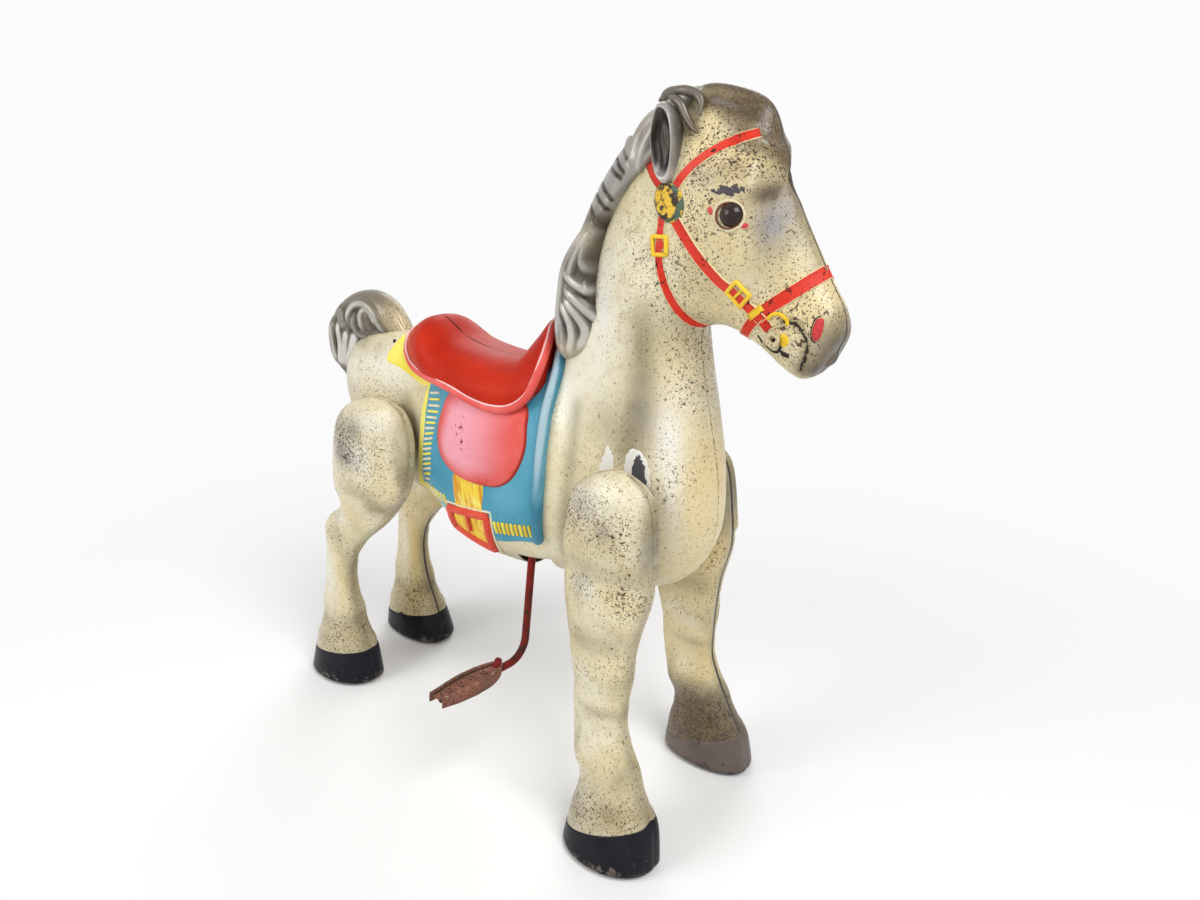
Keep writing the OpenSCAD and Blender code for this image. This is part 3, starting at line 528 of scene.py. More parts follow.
def body_grid():
    g = section(curve(BODY, 18), ANGLES)
    crest = smooth(g[..., 2], 684, 742) * smooth(g[..., 0], 160, 200)
    ahead = g[..., 0] - np.interp(g[..., 2], [560, 620, 700], [318, 296, 262])
    g[..., 1] *= 1 - .34 * crest - .12 * smooth(ahead, 0, 30)
    g[..., 1] = np.maximum(g[..., 1], .12)
    n = grid_normals(g)
    n *= np.sign(n[:, 40:50, 1].mean())
    n[:, 0] = [0, 0, 1]
    x, y, z = g[..., 0], g[..., 1], g[..., 2]
    h = -.9 * np.exp(-(y / 1.1) ** 2)
    side = g[..., [0, 2]]
    for size, at, spread, inner, outer in HEAD_LUMPS:
        h += size * lump(side, at, spread) * smooth(y, inner, outer)
    over = z - np.interp(x, BROW[:, 0], BROW[:, 1])
    lip = 2.6 * np.exp(-((over - 5) / 6) ** 2) - 4.6 * smooth(over, 1.0, -2.5) * smooth(z, 618, 690)
    h += smooth(x, 240, 268) * smooth(x, 304, 292) * lip
    h -= 2.0 * trail(side, MOUTH, 3.0) + 1.2 * trail(side, JAW_CURL, 3.0) * smooth(y, 4, 9)
    h += 1.6 * trail(side, [(216, 716), (228, 724), (246, 729), (262, 724)], 7)
    h -= 1.4 * trail(side, [(224, 742), (240, 737), (258, 733)], 4)
    g = g + n * h[..., None]

    def cap(ring, push):
        c = (ring[0] + ring[-1]) / 2 * [1, 0, 1]
        return np.array([c + (ring - c) * k + np.array(push) * (1 - k * k) for k in (.92, .75, .5, .25, .04)])

    return np.concatenate([cap(g[0], (-3, 0, 0))[::-1], g, cap(g[-1], (3, 0, -2))])


GRID = body_grid()
COLS = len(ANGLES)
SKIN = BVHTree.FromPolygons([Vector(p) for p in GRID.reshape(-1, 3)],
                            [list(f) for f in grid_faces(len(GRID), COLS)])


def dabs(p, items):
    """Sum of soft spots: strength, place x and z, size along x and z."""
    return sum(a * lump(p, (x, z), (dx, dz)) for a, x, z, dx, dz in items)


# Paint of the body. Streaks: strength, width, line. Spots: strength, place, size
BODY_STREAKS = {
    "shade": ((.75, 19, [(180, 560), (180, 520), (177, 470), (170, 432)]),
              # The next two shade streaks are painted shade: in the crease by the foreleg and round the thigh
              (.55, 9, [(98, 460), (100, 400), (96, 340), (90, 300)]),
              (.6, 13, [(-160, 416), (-142, 390), (-137, 360), (-142, 330), (-160, 300)]),
              (.6, 8, [(291, 690), (303, 668), (315, 645), (328, 618)]),
              (.4, 7, [(120, 640), (140, 668), (160, 688)])),
    # The first stain streak is a painted shadow in the gap between thigh and body; the others are stains
    "stain_and_shadow": ((.7, 9, [(-168, 402), (-150, 384), (-144, 360), (-147, 332), (-158, 310), (-172, 296)]),
              (.65, 6, [(186, 752), (215, 758), (240, 755), (262, 746), (277, 729), (286, 712), (290, 699)]),
              (.45, 3.5, MOUTH))}
BODY_SPOTS = {
    "shade": ((.3, -285, 385, 26, 60), (.35, 258, 655, 21, 18), (.3, 230, 684, 16, 12), (.35, 208, 552, 12, 22),
              (.3, 288, 612, 18, 20), (.45, 330, 540, 14, 14), (.35, 298, 548, 16, 9), (.45, 262, 718, 26, 11),
              (.3, 232, 560, 22, 10), (.35, -225, 470, 26, 16), (.45, 302, 636, 15, 26), (.4, 140, 454, 22, 26),
              (.35, 345, 545, 12, 16), (.3, 272, 690, 22, 10), (.25, 240, 600, 30, 26), (.3, 316, 596, 10, 8)),
    "ochre": ((.4, 208, 500, 16, 50), (.3, -250, 330, 50, 30)),
    # light: painted highlights on the neck, chest, rump and face
    "light": ((.8, 120, 560, 22, 70), (.7, 84, 470, 18, 40), (.6, 216, 400, 10, 60), (.75, 207, 456, 14, 42),
              (.6, -215, 450, 50, 20), (.5, -270, 430, 24, 30), (.4, 280, 600, 14, 10)),
    "smoke": ((.95, 291, 652, 14, 22), (.7, 353, 552, 15, 28), (.35, 184, 470, 14, 40)),
    "stain_and_shadow": ((.8, 224, 744, 9, 6), (1.0, 262, 734, 11, 8), (.95, 246, 740, 12, 7), (.4, 275, 722, 7, 9),
              (1.0, 284, 673, 13, 10), (.3, 300, 664, 7, 10), (.25, 252, 694, 20, 7), (.5, 334, 528, 14, 8),
              (.9, 354, 554, 14, 28), (.55, 342, 534, 13, 12), (.35, 240, 684, 18, 6), (.3, 214, 728, 8, 12)),
    "rust": ((.3, 170, 420, 60, 40), (.35, 228, 668, 16, 30), (.3, 262, 695, 30, 10), (.5, 281, 712, 10, 16),
             (.3, 325, 560, 20, 22), (.3, 220, 520, 14, 60), (.25, -210, 400, 80, 60), (-.4, -40, 330, 150, 110))}


def body_paint(g):
    """Airbrushed and painted shade, painted highlights, smoke, stains, a painted shadow by the thigh and rust
    density at the points g.
    """
    x, y, z = g[..., 0], np.abs(g[..., 1]), g[..., 2]
    side = g[..., [0, 2]]
    masks = {key: dabs(side, rows) for key, rows in BODY_SPOTS.items()}
    for key, rows in BODY_STREAKS.items():
        masks[key] += sum(a * trail(side, line, width) for a, width, line in rows)
    lock_top = smooth(z - np.interp(x, BROW[:, 0], BROW[:, 1]), -6, 5) * smooth(x, 190, 215)
    # Painted shade under the belly (darker from z 300 down), a base tone and the forelock's shade
    masks["shade"] += .08 + .6 * smooth(z, 300, 250) + .42 * lock_top
    masks["ochre"] += .55 * smooth(x, 196, 226) * smooth(z, 545, 575)
    masks["ochre"] += .6 * smooth(x, 196, 228) * smooth(z, 505, 440)
    masks["stain_and_shadow"] += .34 * lock_top + .5 * smooth(x, -232, -262) * smooth(z, 440, 478)
    masks["rust"] += .45 + .14 * smooth(x, 200, 230) * smooth(z, 545, 575)
    masks["rust"] += .2 * smooth(x, 120, 180) * smooth(z, 440, 560)
    masks["chip"] = np.where(g[..., 1] < 0, 1.0, .6) * lump(side, (258, 675.5), (19, 4.6))
    masks["seam"] = (.56 + .24 * smooth(x, 190, 215) * smooth(z, 540, 570)) * np.exp(-(y / 1.3) ** 2)
    return {key: np.clip(val, 0, 1) for key, val in masks.items()}


def belly_slot(bm, side):
    """Cuts this half of the slot for the stirrup rods out of the belly."""
    across, along_y = (1, 0, 0), (0, 1, 0)
    for co, no in (((SLOT_BACK, 0, 0), across), ((SLOT_FRONT, 0, 0), across), ((0, SLOT_HALF * side, 0), along_y)):
        fs = []
        for f in bm.faces:
            c = f.calc_center_median()
            if c.z < NEAR_TOP and NEAR_BACK < c.x < NEAR_FRONT:
                fs.append(f)
        parts = dict.fromkeys(fs + [e for f in fs for e in f.edges] + [v for f in fs for v in f.verts])
        bmesh.ops.bisect_plane(bm, geom=list(parts), plane_co=co, plane_no=no)
    gone = []
    for f in bm.faces:
        c = f.calc_center_median()
        if SLOT_BACK < c.x < SLOT_FRONT and abs(c.y) < SLOT_HALF and c.z < SLOT_TOP:
            gone.append(f)
    bmesh.ops.delete(bm, geom=gone, context="FACES")


def body_half(side):
    g = GRID * [1, side, 1]
    ob = piece(f"body_skin_{WORD[side]}", g, grid_faces(len(g), COLS), CREAM, "body", body_paint(g),
               outward=False)
    pressed(ob, SHEET, lambda f: f.normal.y * side, lambda bm: belly_slot(bm, side))
    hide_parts(f"body_{WORD[side]}")


for side in SIDES:
    body_half(side)

# Saddle seat, mane and tail bob
WELT_PATH = [(-188, 491), (-183, 485), (-171, 473), (-150, 461), (-122, 457), (-92, 455), (-62, 451), (-36, 445),
             (-8, 442), (20, 446), (40, 459), (49, 477), (53, 497), (49, 514), (42, 527), (38, 533)]


def seat_relief(g):
    side = g[..., [0, 2]]
    out = np.where(within(side, WELT_PATH + [(38, 600), (-188, 600)]), 0, track(side, WELT_PATH)[0])
    return -.9 * np.exp(-(g[..., 1] / 1.2) ** 2) - 30 * smooth(out, 0, 14)


v, f = loft(SADDLE, 14, 200, seat_relief)
piece("saddle_seat", v, f, SEAT, "body", {"wear": .1 * np.exp(-(v[:, 1] / 1.5) ** 2)})

GROOVES = ([(100, 668), (108, 664), (124, 652)], [(108, 678), (114, 674), (130, 661)],
           [(118, 691), (124, 688), (140, 680)], [(127, 697), (132, 694), (143, 685)],
           [(134, 707), (139, 704), (148, 697)], [(97, 655), (103, 651), (118, 635)])
# Strands: line, half width, height
MANE_HAIR = (
    ([(108, 640), (92, 622), (78, 604), (72, 588), (70, 570), (68, 552), (69, 534), (70, 516), (72, 500)], 8, 4.5),
    ([(116, 640), (107, 627), (100, 614), (99, 603), (105, 595), (114, 590)], 6.5, 4),
    ([(110, 634), (96, 618), (88, 604), (84, 590), (82, 578)], 7, 4.5),
    ([(76, 597), (80, 588), (90, 582), (102, 577), (115, 571)], 7, 4.5),
    ([(76, 582), (81, 573), (95, 564), (107, 553), (115, 540), (115, 528), (106, 516), (90, 507)], 7, 5),
    ([(76, 570), (84, 560), (94, 551), (101, 538), (98, 524), (86, 508)], 7, 5),
    ([(72, 566), (77, 556), (85, 544), (88, 531), (85, 518), (76, 503)], 6.5, 5),
    ([(66, 560), (70, 546), (76, 530), (74, 514), (70, 500)], 6, 4),
    ([(168, 742), (157, 727), (154, 710), (154, 697), (157, 683)], 7, 3.5),
    ([(180, 738), (176, 727), (170, 716), (165, 704), (162, 690), (164, 678)], 6.5, 4),
    ([(188, 714), (182, 708), (176, 701), (169, 694), (166, 685)], 5.5, 3),
    ([(138, 720), (142, 711), (148, 698), (151, 680)], 6, 3))
TAIL_HAIR = (
    ([(-226, 472), (-236, 486), (-243, 499), (-251, 507), (-261, 512), (-273, 513), (-283, 509), (-290, 502),
      (-292, 493), (-288, 484), (-279, 478)], 7.3, 3.1),
    ([(-240, 484), (-246, 496), (-252, 504), (-259, 507), (-265, 504), (-268, 497), (-267, 488), (-266, 480),
      (-271, 472)], 6.8, 3.1),
    ([(-281, 499), (-282, 489), (-280, 482), (-275, 475), (-267, 472), (-256, 477)], 6.8, 2.6),
    ([(-259, 503), (-259, 495), (-256, 487), (-254, 478)], 5.8, 2.1),
    ([(-231, 474), (-244, 474), (-253, 470), (-259, 462), (-266, 450), (-276, 437), (-290, 420)], 7.8, 3.1),
    ([(-228, 470), (-238, 460), (-250, 449), (-264, 438), (-280, 426), (-298, 412)], 8.3, 3.1),
    ([(-257, 473), (-266, 460), (-276, 447), (-290, 432), (-306, 416)], 8.3, 3.6),
    ([(-276, 479), (-285, 464), (-294, 449), (-303, 436), (-313, 418)], 8.8, 3.6),
    ([(-290, 480), (-298, 467), (-303, 453), (-309, 439), (-317, 420)], 7.8, 3.6),
    ([(-310, 490), (-312, 476), (-310, 464), (-311, 450), (-316, 436), (-322, 420)], 8.3, 3.6),
    ([(-316, 505), (-311, 492), (-305, 484), (-292, 479)], 7.3, 2.6),
    ([(-334, 486), (-332, 470), (-329, 455), (-327, 440), (-326, 424)], 8.8, 3.1))
# Front edge of the mane: z, x
MANE_EDGE = np.array([(500, 84), (510, 104), (520, 116), (536, 119), (548, 117), (560, 112), (575, 106),
                      (590, 103), (605, 102), (620, 104), (635, 110), (650, 121), (662, 133), (675, 148),
                      (688, 164), (700, 176), (716, 182), (735, 187), (748, 200), (765, 225)], float)
TAIL_SHIFT = [4, 0, 3]
TAIL_RIM = [(-350, 440), (-350, 470), (-334, 500), (-304, 523), (-266, 530), (-232, 512), (-206, 486)]


def ripple(p, pitch, bend):
    """Strands down the back, 0 to 1, fading out to the sides."""
    y, z = p[..., 1], p[..., 2]
    return (.5 + .5 * np.cos(2 * np.pi * (np.abs(y) + 1.2 * np.sin(z / bend)) / pitch)) * smooth(np.abs(y), 18, 8)


def mane_relief(g):
    side = g[..., [0, 2]]
    h = strands(side, MANE_HAIR) * smooth(np.abs(g[..., 1]), 4, 14)
    h = h + 2.0 * ripple(g, 9, 30) * smooth(g[..., 2], 645, 625)
    h = h - 1.8 * sum(trail(side, q, 1.5) for q in GROOVES) - .8 * np.exp(-(g[..., 1] / 1.2) ** 2)
    return h - 2.5 - 14 * smooth(g[..., 0] - np.interp(g[..., 2], MANE_EDGE[:, 0], MANE_EDGE[:, 1]), -3, 12)


v, f = loft(MANE, 30, 240, mane_relief)
side_v, y, z = v[:, [0, 2]], np.abs(v[:, 1]), v[:, 2]
carved = strands(side_v, MANE_HAIR)
# ridge: silver paint with painted highlights on the strand tops and painted shade in the grooves
ridge = .06 + .06 * carved + .9 * np.clip((carved - 2.8) / 2.1, 0, 1) ** 1.7
ridge += .45 * ripple(v, 9, 30) * smooth(z, 645, 625)
ridge += smooth(z, 640, 655) * (.45 + .3 * np.exp(-((y - 20) / 7) ** 2))
ridge -= sum(trail(side_v, q, 2.0) for q in GROOVES)
shade = .16 + dabs(side_v, ((.45, 70, 606, 26, 16), (.45, 158, 722, 30, 18)))
shade += .4 * smooth(y, 30, 14) * smooth(z, 640, 615)
pale = .75 * smooth(z, 535, 503) + .45 * lump(side_v, (98, 628), (12, 12))
piece("mane", v, f, MANE_M, "body", {
    "ridge": np.clip(ridge, 0, 1), "shade": np.clip(shade, 0, 1), "rust": .25, "pale": np.clip(pale, 0, 1)})


def tail_relief(g):
    side = g[..., [0, 2]]
    h = strands(side, TAIL_HAIR) - 2.0 * smooth(track(side, TAIL_RIM)[0], 14, 22)
    return h * smooth(np.abs(g[..., 1]), 4, 12) + 1.8 * ripple(g, 8, 22) * smooth(g[..., 2], 512, 490)


v, f = loft(TAIL, 28, 200, tail_relief)
side_v, x, z = v[:, [0, 2]], v[:, 0], v[:, 2]
carved = strands(side_v, TAIL_HAIR)
rim = trail(side_v, TAIL_RIM, 15)
# ridge: silver paint with painted highlights on the strand tops and painted shade in the grooves
ridge = .02 + .045 * carved + .95 * np.clip((carved - 1.9) / 1.5, 0, 1) ** 1.9 + .2 * rim
ridge += .35 * ripple(v, 8, 22) * smooth(z, 512, 490)
piece("tail_bob", v + TAIL_SHIFT, f, TAIL_M, "body", {
    "ridge": np.clip(ridge, 0, 1), "shade": np.clip(.1 + .55 * rim, 0, 1), "rust": .1 + .5 * smooth(x, -262, -225),
    "pale": .9 * smooth(x, -250, -212) * smooth(track(side_v, TAIL_HAIR[0][0])[0], 3, 10)})


# Legs: an outer and an inner pressed half on each. Relief and paint are spots: strength, place, size
LEG_BUMPS = {
    "front": ((2.6, 185, 272, 30, 26), (3.4, 186, 206, 16, 17), (-1.6, 164, 229, 40, 6), (-1.6, 166, 181, 40, 7),
              (-2.4, 150, 150, 9, 26), (3.4, 150, 102, 14, 13), (2.2, 205, 98, 13, 14), (-1.6, 182, 78, 30, 8),
              (1.6, 195, 55, 60, 5)),
    "rear": ((3.2, -303, 224, 10, 13), (2.4, -262, 212, 14, 16), (-1.8, -286, 184, 24, 7), (-2.2, -305, 150, 7, 24),
             (2.8, -321, 108, 12, 13), (2.2, -278, 104, 11, 13), (-1.5, -300, 80, 24, 7), (1.6, -300, 55, 60, 5),
             (2.4, -205, 300, 34, 24))}
# In the leg paint the light spots are painted highlights
LEG_PAINT = {
    "front": {
        "shade": ((.2, 168, 355, 40, 36), (.35, 180, 247, 26, 13), (.4, 148, 242, 20, 14), (.3, 206, 326, 16, 11),
                  (.35, 160, 325, 36, 8), (.5, 117, 350, 8, 60), (.45, 214, 370, 7, 40), (.5, 178, 165, 26, 7),
                  (.4, 148, 120, 8, 24), (.5, 207, 102, 8, 14), (.4, 205, 66, 18, 10), (.3, 160, 44, 16, 12),
                  (.3, 196, 205, 8, 16)),
        "light": ((.9, 148, 386, 24, 16), (.8, 156, 302, 13, 13), (.5, 150, 205, 12, 12), (.3, 168, 132, 16, 16),
                  (.4, 176, 190, 12, 9), (.4, 170, 70, 20, 10)),
        "ochre": ((.5, 192, 298, 24, 20), (.4, 215, 60, 24, 18), (.4, 124, 300, 12, 60), (.3, 180, 110, 20, 20)),
        "rust": ((.6, 152, 372, 42, 32), (.45, 200, 360, 20, 30), (.6, 196, 298, 22, 20), (.45, 150, 300, 16, 18),
                 (.3, 172, 205, 24, 10), (.4, 190, 55, 60, 24)),
        "smoke": ((.45, 174, 366, 10, 9), (.4, 146, 384, 15, 14), (.3, 150, 302, 12, 14), (.45, 216, 352, 6, 22))},
    "rear": {
        "shade": ((.5, -276, 262, 10, 20), (.65, -186, 284, 20, 13), (.5, -147, 350, 7, 50),
                  (.2, -262, 222, 20, 10), (.35, -272, 160, 8, 40), (.5, -268, 88, 14, 12), (.35, -315, 84, 22, 9),
                  (.15, -235, 240, 18, 12), (.35, -215, 300, 30, 9)),
        "light": ((.9, -185, 394, 34, 12), (.8, -266, 345, 18, 26), (.8, -305, 150, 12, 50),
                  (1.0, -212, 345, 26, 24), (.5, -262, 248, 18, 8)),
        "ochre": ((.45, -235, 258, 26, 18), (.55, -282, 150, 12, 60), (.5, -168, 330, 16, 40),
                  (.3, -280, 70, 30, 20)),
        "rust": ((.5, -190, 340, 40, 40), (.5, -240, 362, 34, 34), (.45, -285, 75, 40, 24),
                 (.2, -290, 215, 20, 14)),
        "smoke": ((.7, -215, 378, 17, 16), (.65, -245, 350, 20, 26), (.4, -226, 338, 20, 8),
                  (.35, -250, 385, 14, 12))}}
# Plane of the seam at the pivot and its splay down to the floor, hoof line at the front and its fall to the back
LEG_PLANE = {"front": (71, 24), "rear": (62, 0)}
HOOF_LINE = {"front": (56, 36), "rear": (50, 19)}


def leg_relief(end, g, edge):
    """Muscles and joints pressed into the leg, and the groove along its seam."""
    flat, z = g[..., [0, 2]], g[..., 2]
    h = -.7 * np.exp(-(edge / .10) ** 2)
    if end == "front":
        ridge = 2.6 * smooth(z, 309, 321) - 1.2 * trail(flat, [(110, 318), (165, 311), (224, 314)], 5)
    else:
        h = h - 3.0 * trail(flat, [(-268, 282), (-276, 262), (-290, 242)], 7)
        ridge = 1.8 * smooth(z - np.interp(g[..., 0], [-290, -230, -140], [282, 262, 300]), -5, 5)
    return h + ridge * smooth(edge, .0, .2) + dabs(flat, LEG_BUMPS[end]) * smooth(edge, .02, .35)


def leg_half(end, side, outer):
    rows = FRONT if end == "front" else REAR
    plane, lean = LEG_PLANE[end]
    # Depth, fullness, column of the sections and direction of this half
    depth, full, col, dirn = (23, .8, 4, 1) if outer else (15, .55, 5, -1)
    word, part = WORD[side], "outer" if outer else "inner"
    d, t = curve(rows, 12), angles(64)
    q = (1 - np.cos(t))[None, :] / 2
    x = d[:, 0:1] + (d[:, 2:3] - d[:, 0:1]) * q
    z = d[:, 1:2] + (d[:, 3:4] - d[:, 1:2]) * q
    full = full + (.9 - full) * smooth(z, 120, 60)
    if outer:
        full = full + .4 * smooth(q, .35, .9) * smooth(z, 290, 240) * smooth(z, 110, 150)
    w = .15 + depth * d[:, col:col + 1] * np.sin(t)[None, :] ** full
    g = np.stack([x, plane + lean * (1 - z / PIVOT_Z) + dirn * w, z], -1)
    top = g[:1].mean(1, keepdims=True).repeat(g.shape[1], 1)
    g = np.concatenate([top, g], 0)
    n = grid_normals(g)
    n[0] = [0, 0, 1]
    n *= np.sign(n[30:60, 28:36, 1].mean()) * dirn
    edge = np.minimum(t, np.pi - t)[None, :]
    spots = {key: dabs(g[..., [0, 2]], rows) for key, rows in LEG_PAINT[end].items()}
    g = g + n * leg_relief(end, g, edge)[..., None]
    z = g[..., 2]
    low = smooth(z, 130, 55)
    dusty = end == "front" and side > 0
    dirty = .9 * smooth(z, 128, 92) if dusty else 0 * z
    seam = .8 * smooth(edge, .06, .02) if side > 0 else .42 * smooth(edge, .035, .01)
    # The edge term of shade is painted shade, darkening both sides of the leg to round it
    attrs = {
        "shade": np.clip((.1 if side > 0 else .16) + spots["shade"] + .42 * smooth(edge, .62, .05), 0, 1),
        "light": np.clip(.75 * spots["light"], 0, 1),
        "ochre": np.clip(spots["ochre"] + (.45 if side > 0 else 0) * (1 - .8 * dirty), 0, 1),
        "smoke": np.clip(.2 * dirty + spots["smoke"], 0, 1),
        "stain_and_shadow": np.clip(.3 * low + .7 * dirty, 0, 1),
        "rust": np.clip(.5 + spots["rust"] + .15 * low + .5 * dirty, 0, 1.2),
        "chip": .45 * dirty,
        "seam": seam + 0 * z}

    def shell(name, grid, mat, masks, sheet):
        ob = piece(name, grid * [1, side, 1], grid_faces(*grid.shape[:2]), mat, f"{end}_leg_{word}", masks,
                   outward=False)
        pressed(ob, sheet, lambda f: f.normal.y * side * dirn,
                lambda bm: bmesh.ops.remove_doubles(bm, verts=bm.verts, dist=1e-6))
        return ob

    ob = shell(f"{end}_leg_{part}_shell_{word}", g, CREAM, attrs, SHEET)
    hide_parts(f"{end}_leg_{part}_{word}")
    # Hoof paint: a skin from a curved line down to the edge
    start, fall = HOOF_LINE[end]
    line = start - fall * (1 - np.cos(t)) / 2 + (2 if outer else 1) * np.sin(t) ** 2
    steps = np.linspace(0, 1, 16)
    hoof = np.zeros((len(steps), len(t), 3))
    for i, lift in enumerate([-.2, .5, .75] + [.8] * 13):
        level = line + (HOOF_EDGE - line) * steps[i]
        for j, c in np.ndindex(len(t), 3):
            at = -level[j], -z[:, j]
            hoof[i, j, c] = np.interp(*at, g[:, j, c]) + lift * np.interp(*at, n[:, j, c])
    worn = np.repeat(.05 + .14 * smooth(steps, .6, 1), len(t))
    shell(f"{end}_hoof_{part}_{word}", hoof, HOOF_DUSTY if dusty else HOOF, {"worn": worn},
          HOOF_SKIN)


for end in ("front", "rear"):
    for side in SIDES:
        for outer in (True, False):
            leg_half(end, side, outer)


# Stirrups
def corner(p, a, b, r, n=10):
    """Arc of radius r at p, where the line along a turns to run along b."""
    turn = math.acos(float(a @ b))
    cut = r * math.tan(turn / 2)
    bis = (b - a) / np.linalg.norm(b - a)
    c = p + bis * r / math.cos(turn / 2)
    s, e = p - a * cut, p + b * cut
    part = [(math.sin(turn * (1 - i / n)), math.sin(turn * i / n)) for i in range(n + 1)]
    return [c + ((s - c) * j + (e - c) * k) / math.sin(turn) for j, k in part]


def stirrup(side):
    arm = np.array([math.cos(ROD_TILT), math.sin(ROD_TILT)])
    down = (ROD_LOW - ROD_TOP) / np.linalg.norm(ROD_LOW - ROD_TOP)
    line = [np.array([ROD_END, PIVOT_Z]), *corner(ROD_TOP, np.array([-1., 0.]), down, TOP_BEND),
            *corner(ROD_LOW, down, arm, FOOT_BEND), ROD_LOW + arm * FOOT_LENGTH]
    v, f = tube([(ROD_X, *q) for q in line], ROD_R, 20)
    word = WORD[side]
    ob = piece(f"stirrup_rod_smooth_{word}", mirrored(v, side), f, ROD, f"front_leg_{word}",
               {"wear": .04 + .17 * smooth(v[:, 2], 230, 150)})
    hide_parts(f"stirrup_rod_{word}")


for side in SIDES:
    stirrup(side)


# Raised trim on the skin, made on the left side and mirrored
def nearest(p):
    q, n, _, _ = SKIN.find_nearest(Vector(p))
    n = np.array(n if n.y >= 0 else -n)
    return np.array(q), n


def drop(x, z):
    """The skin's point and normal at side view place x, z."""
    q, n, _, _ = SKIN.ray_cast(Vector((x, 200, z)), Vector((0, -1, 0)))
    if q is None:
        return nearest((x, 5, z))
    return np.array(q), np.array(n if n.y >= 0 else -n)


def both(name, v, f, mat, attrs, sides=SIDES):
    for side in sides:
        piece(f"{name}_{WORD[side]}", mirrored(v, side), f, mat, "body", attrs)


def spaced(c, step, least, endpoint=True):
    """Evenly spaced points on the line c."""
    d = np.concatenate([[0], np.cumsum(np.linalg.norm(np.diff(c, axis=0), axis=1))])
    s = np.linspace(0, d[-1], max(least, int(d[-1] / step)), endpoint=endpoint)
    return np.stack([np.interp(s, d, c[:, k]) for k in range(c.shape[1])], 1)


def along(points, step):
    """Evenly spaced points on a smooth curve."""
    return spaced(curve(points, 12), step, 3)


# Cross section of a strap: place across it and height
BAND = ((-1, -.9), (-1, .45), (-.95, .9), (-.86, 1.05), (-.76, .95), (-.66, .6), (-.33, .62), (0, .66), (.33, .62),
        (.66, .6), (.76, .95), (.86, 1.05), (.95, .9), (1, .45), (1, -.9))


def strap(name, points, width, mat, h=1.2, flank=False):
    """Flat strap pressed up from the sheet, points (x, z, y). flank takes only their side view."""
    path = along([(x, y, z) for x, z, y in points], 2.5)
    base = [drop(p[0], p[2]) if flank else nearest(p) for p in path]
    c = np.array([b[0] for b in base])
    n = np.array([b[1] for b in base])
    for _ in range(3):
        n[1:-1] = (n[:-2] + n[1:-1] + n[2:]) / 3
    d = np.gradient(c, axis=0)
    across = np.cross(n, d)
    across /= np.linalg.norm(across, axis=1, keepdims=True)
    g, rim = [], []
    for i in range(len(c)):
        row = []
        for u, lift in BAND:
            q, m = nearest(c[i] + across[i] * u * width / 2)
            row.append(q + (m * .4 + n[i] * .6) * lift * h)
            rim.append((1 - abs(u)) * width / 2)
        g.append(row)
    g = np.array(g)
    k = len(BAND)
    f = [list(q) for q in grid_faces(len(g), k)]
    f += [[i * k + k - 1, i * k, (i + 1) * k, (i + 1) * k + k - 1] for i in range(len(g) - 1)]
    f += [list(range(k)), list(range((len(g) - 1) * k, len(g) * k))]
    both(name, g.reshape(-1, 3), f, mat, {"rim": rim, "wear": .1})


def patch(name, outline, mat, h=1.2, bevel=1.5, dome=0.0, reach=30.0, sharp=False, cell=3.5, groove=None,
          wear=.02, sides=SIDES):
    """Raised plate on the skin inside a side-view outline (x, z)."""
    o = np.array(outline, float)
    ring = np.vstack([o, o[:1]])
    if not sharp:
        ring = curve(np.vstack([o[-1:], o, o[:2]]), 8)[8:-8]
    edge = spaced(ring, 2.2, 8, False)
    ahead = np.roll(edge, -1, 0)

    def to_edge(p):
        ab = ahead - edge
        t = np.clip(((p[:, None] - edge) * ab).sum(-1) / (ab * ab).sum(-1), 0, 1)
        return np.linalg.norm(p[:, None] - (edge + ab * t[..., None]), axis=-1).min(1)

    lo, hi = edge.min(0), edge.max(0)
    xs, zs = np.arange(lo[0], hi[0], cell), np.arange(lo[1], hi[1], cell)
    pts = np.array([(x + (cell / 2 if k % 2 else 0), z) for k, z in enumerate(zs) for x in xs])
    pts = pts[within(pts, edge)]
    pts = pts[to_edge(pts) > .6 * bevel + .9]
    nrm = ahead - np.roll(edge, 1, 0)
    nrm = np.stack([-nrm[:, 1], nrm[:, 0]], 1)
    nrm /= np.linalg.norm(nrm, axis=1, keepdims=True)
    if np.sum(edge[:, 0] * ahead[:, 1] - ahead[:, 0] * edge[:, 1]) <= 0:
        nrm = -nrm
    inset = np.vstack([edge + nrm * off for off in (.35 * bevel, bevel)])
    inset = inset[to_edge(inset) > .3 * bevel]
    k = len(edge)
    places = [Vector(p) for p in np.vstack([edge, inset, pts])]
    loop = [(i, (i + 1) % k) for i in range(k)]
    vs, _, fs, _, _, _ = delaunay_2d_cdt(places, loop, [list(range(k))], 1, 1e-4)
    p2 = np.array([tuple(v) for v in vs])
    rim = to_edge(p2)
    lift = -EDGE_SINK + (h + EDGE_SINK) * smooth(rim, -.4 * bevel, bevel)
    lift += dome * np.sqrt(np.clip(1 - (1 - np.clip(rim / reach, 0, 1)) ** 2, 0, 1))
    if groove is not None:
        lift = lift + groove(p2)
    top, low = [], []
    for (x, z), up in zip(p2, lift):
        q, n = drop(x, z)
        top.append(q + n * up)
        low.append(q - n * BACK_SINK)
    m = len(p2)
    f = [list(t) for t in fs] + [[m + i for i in reversed(t)] for t in fs]
    rims = {}
    for t in fs:
        for e in zip(t, (*t[1:], t[0])):
            key = tuple(sorted(e))
            rims[key] = None if key in rims else e
    f += [[e[1], e[0], m + e[0], m + e[1]] for e in rims.values() if e]
    masks = {"rim": np.tile(rim, 2), "wear": np.tile(wear(p2), 2) if callable(wear) else wear}
    both(name, np.array(top + low), f, mat, masks, sides)


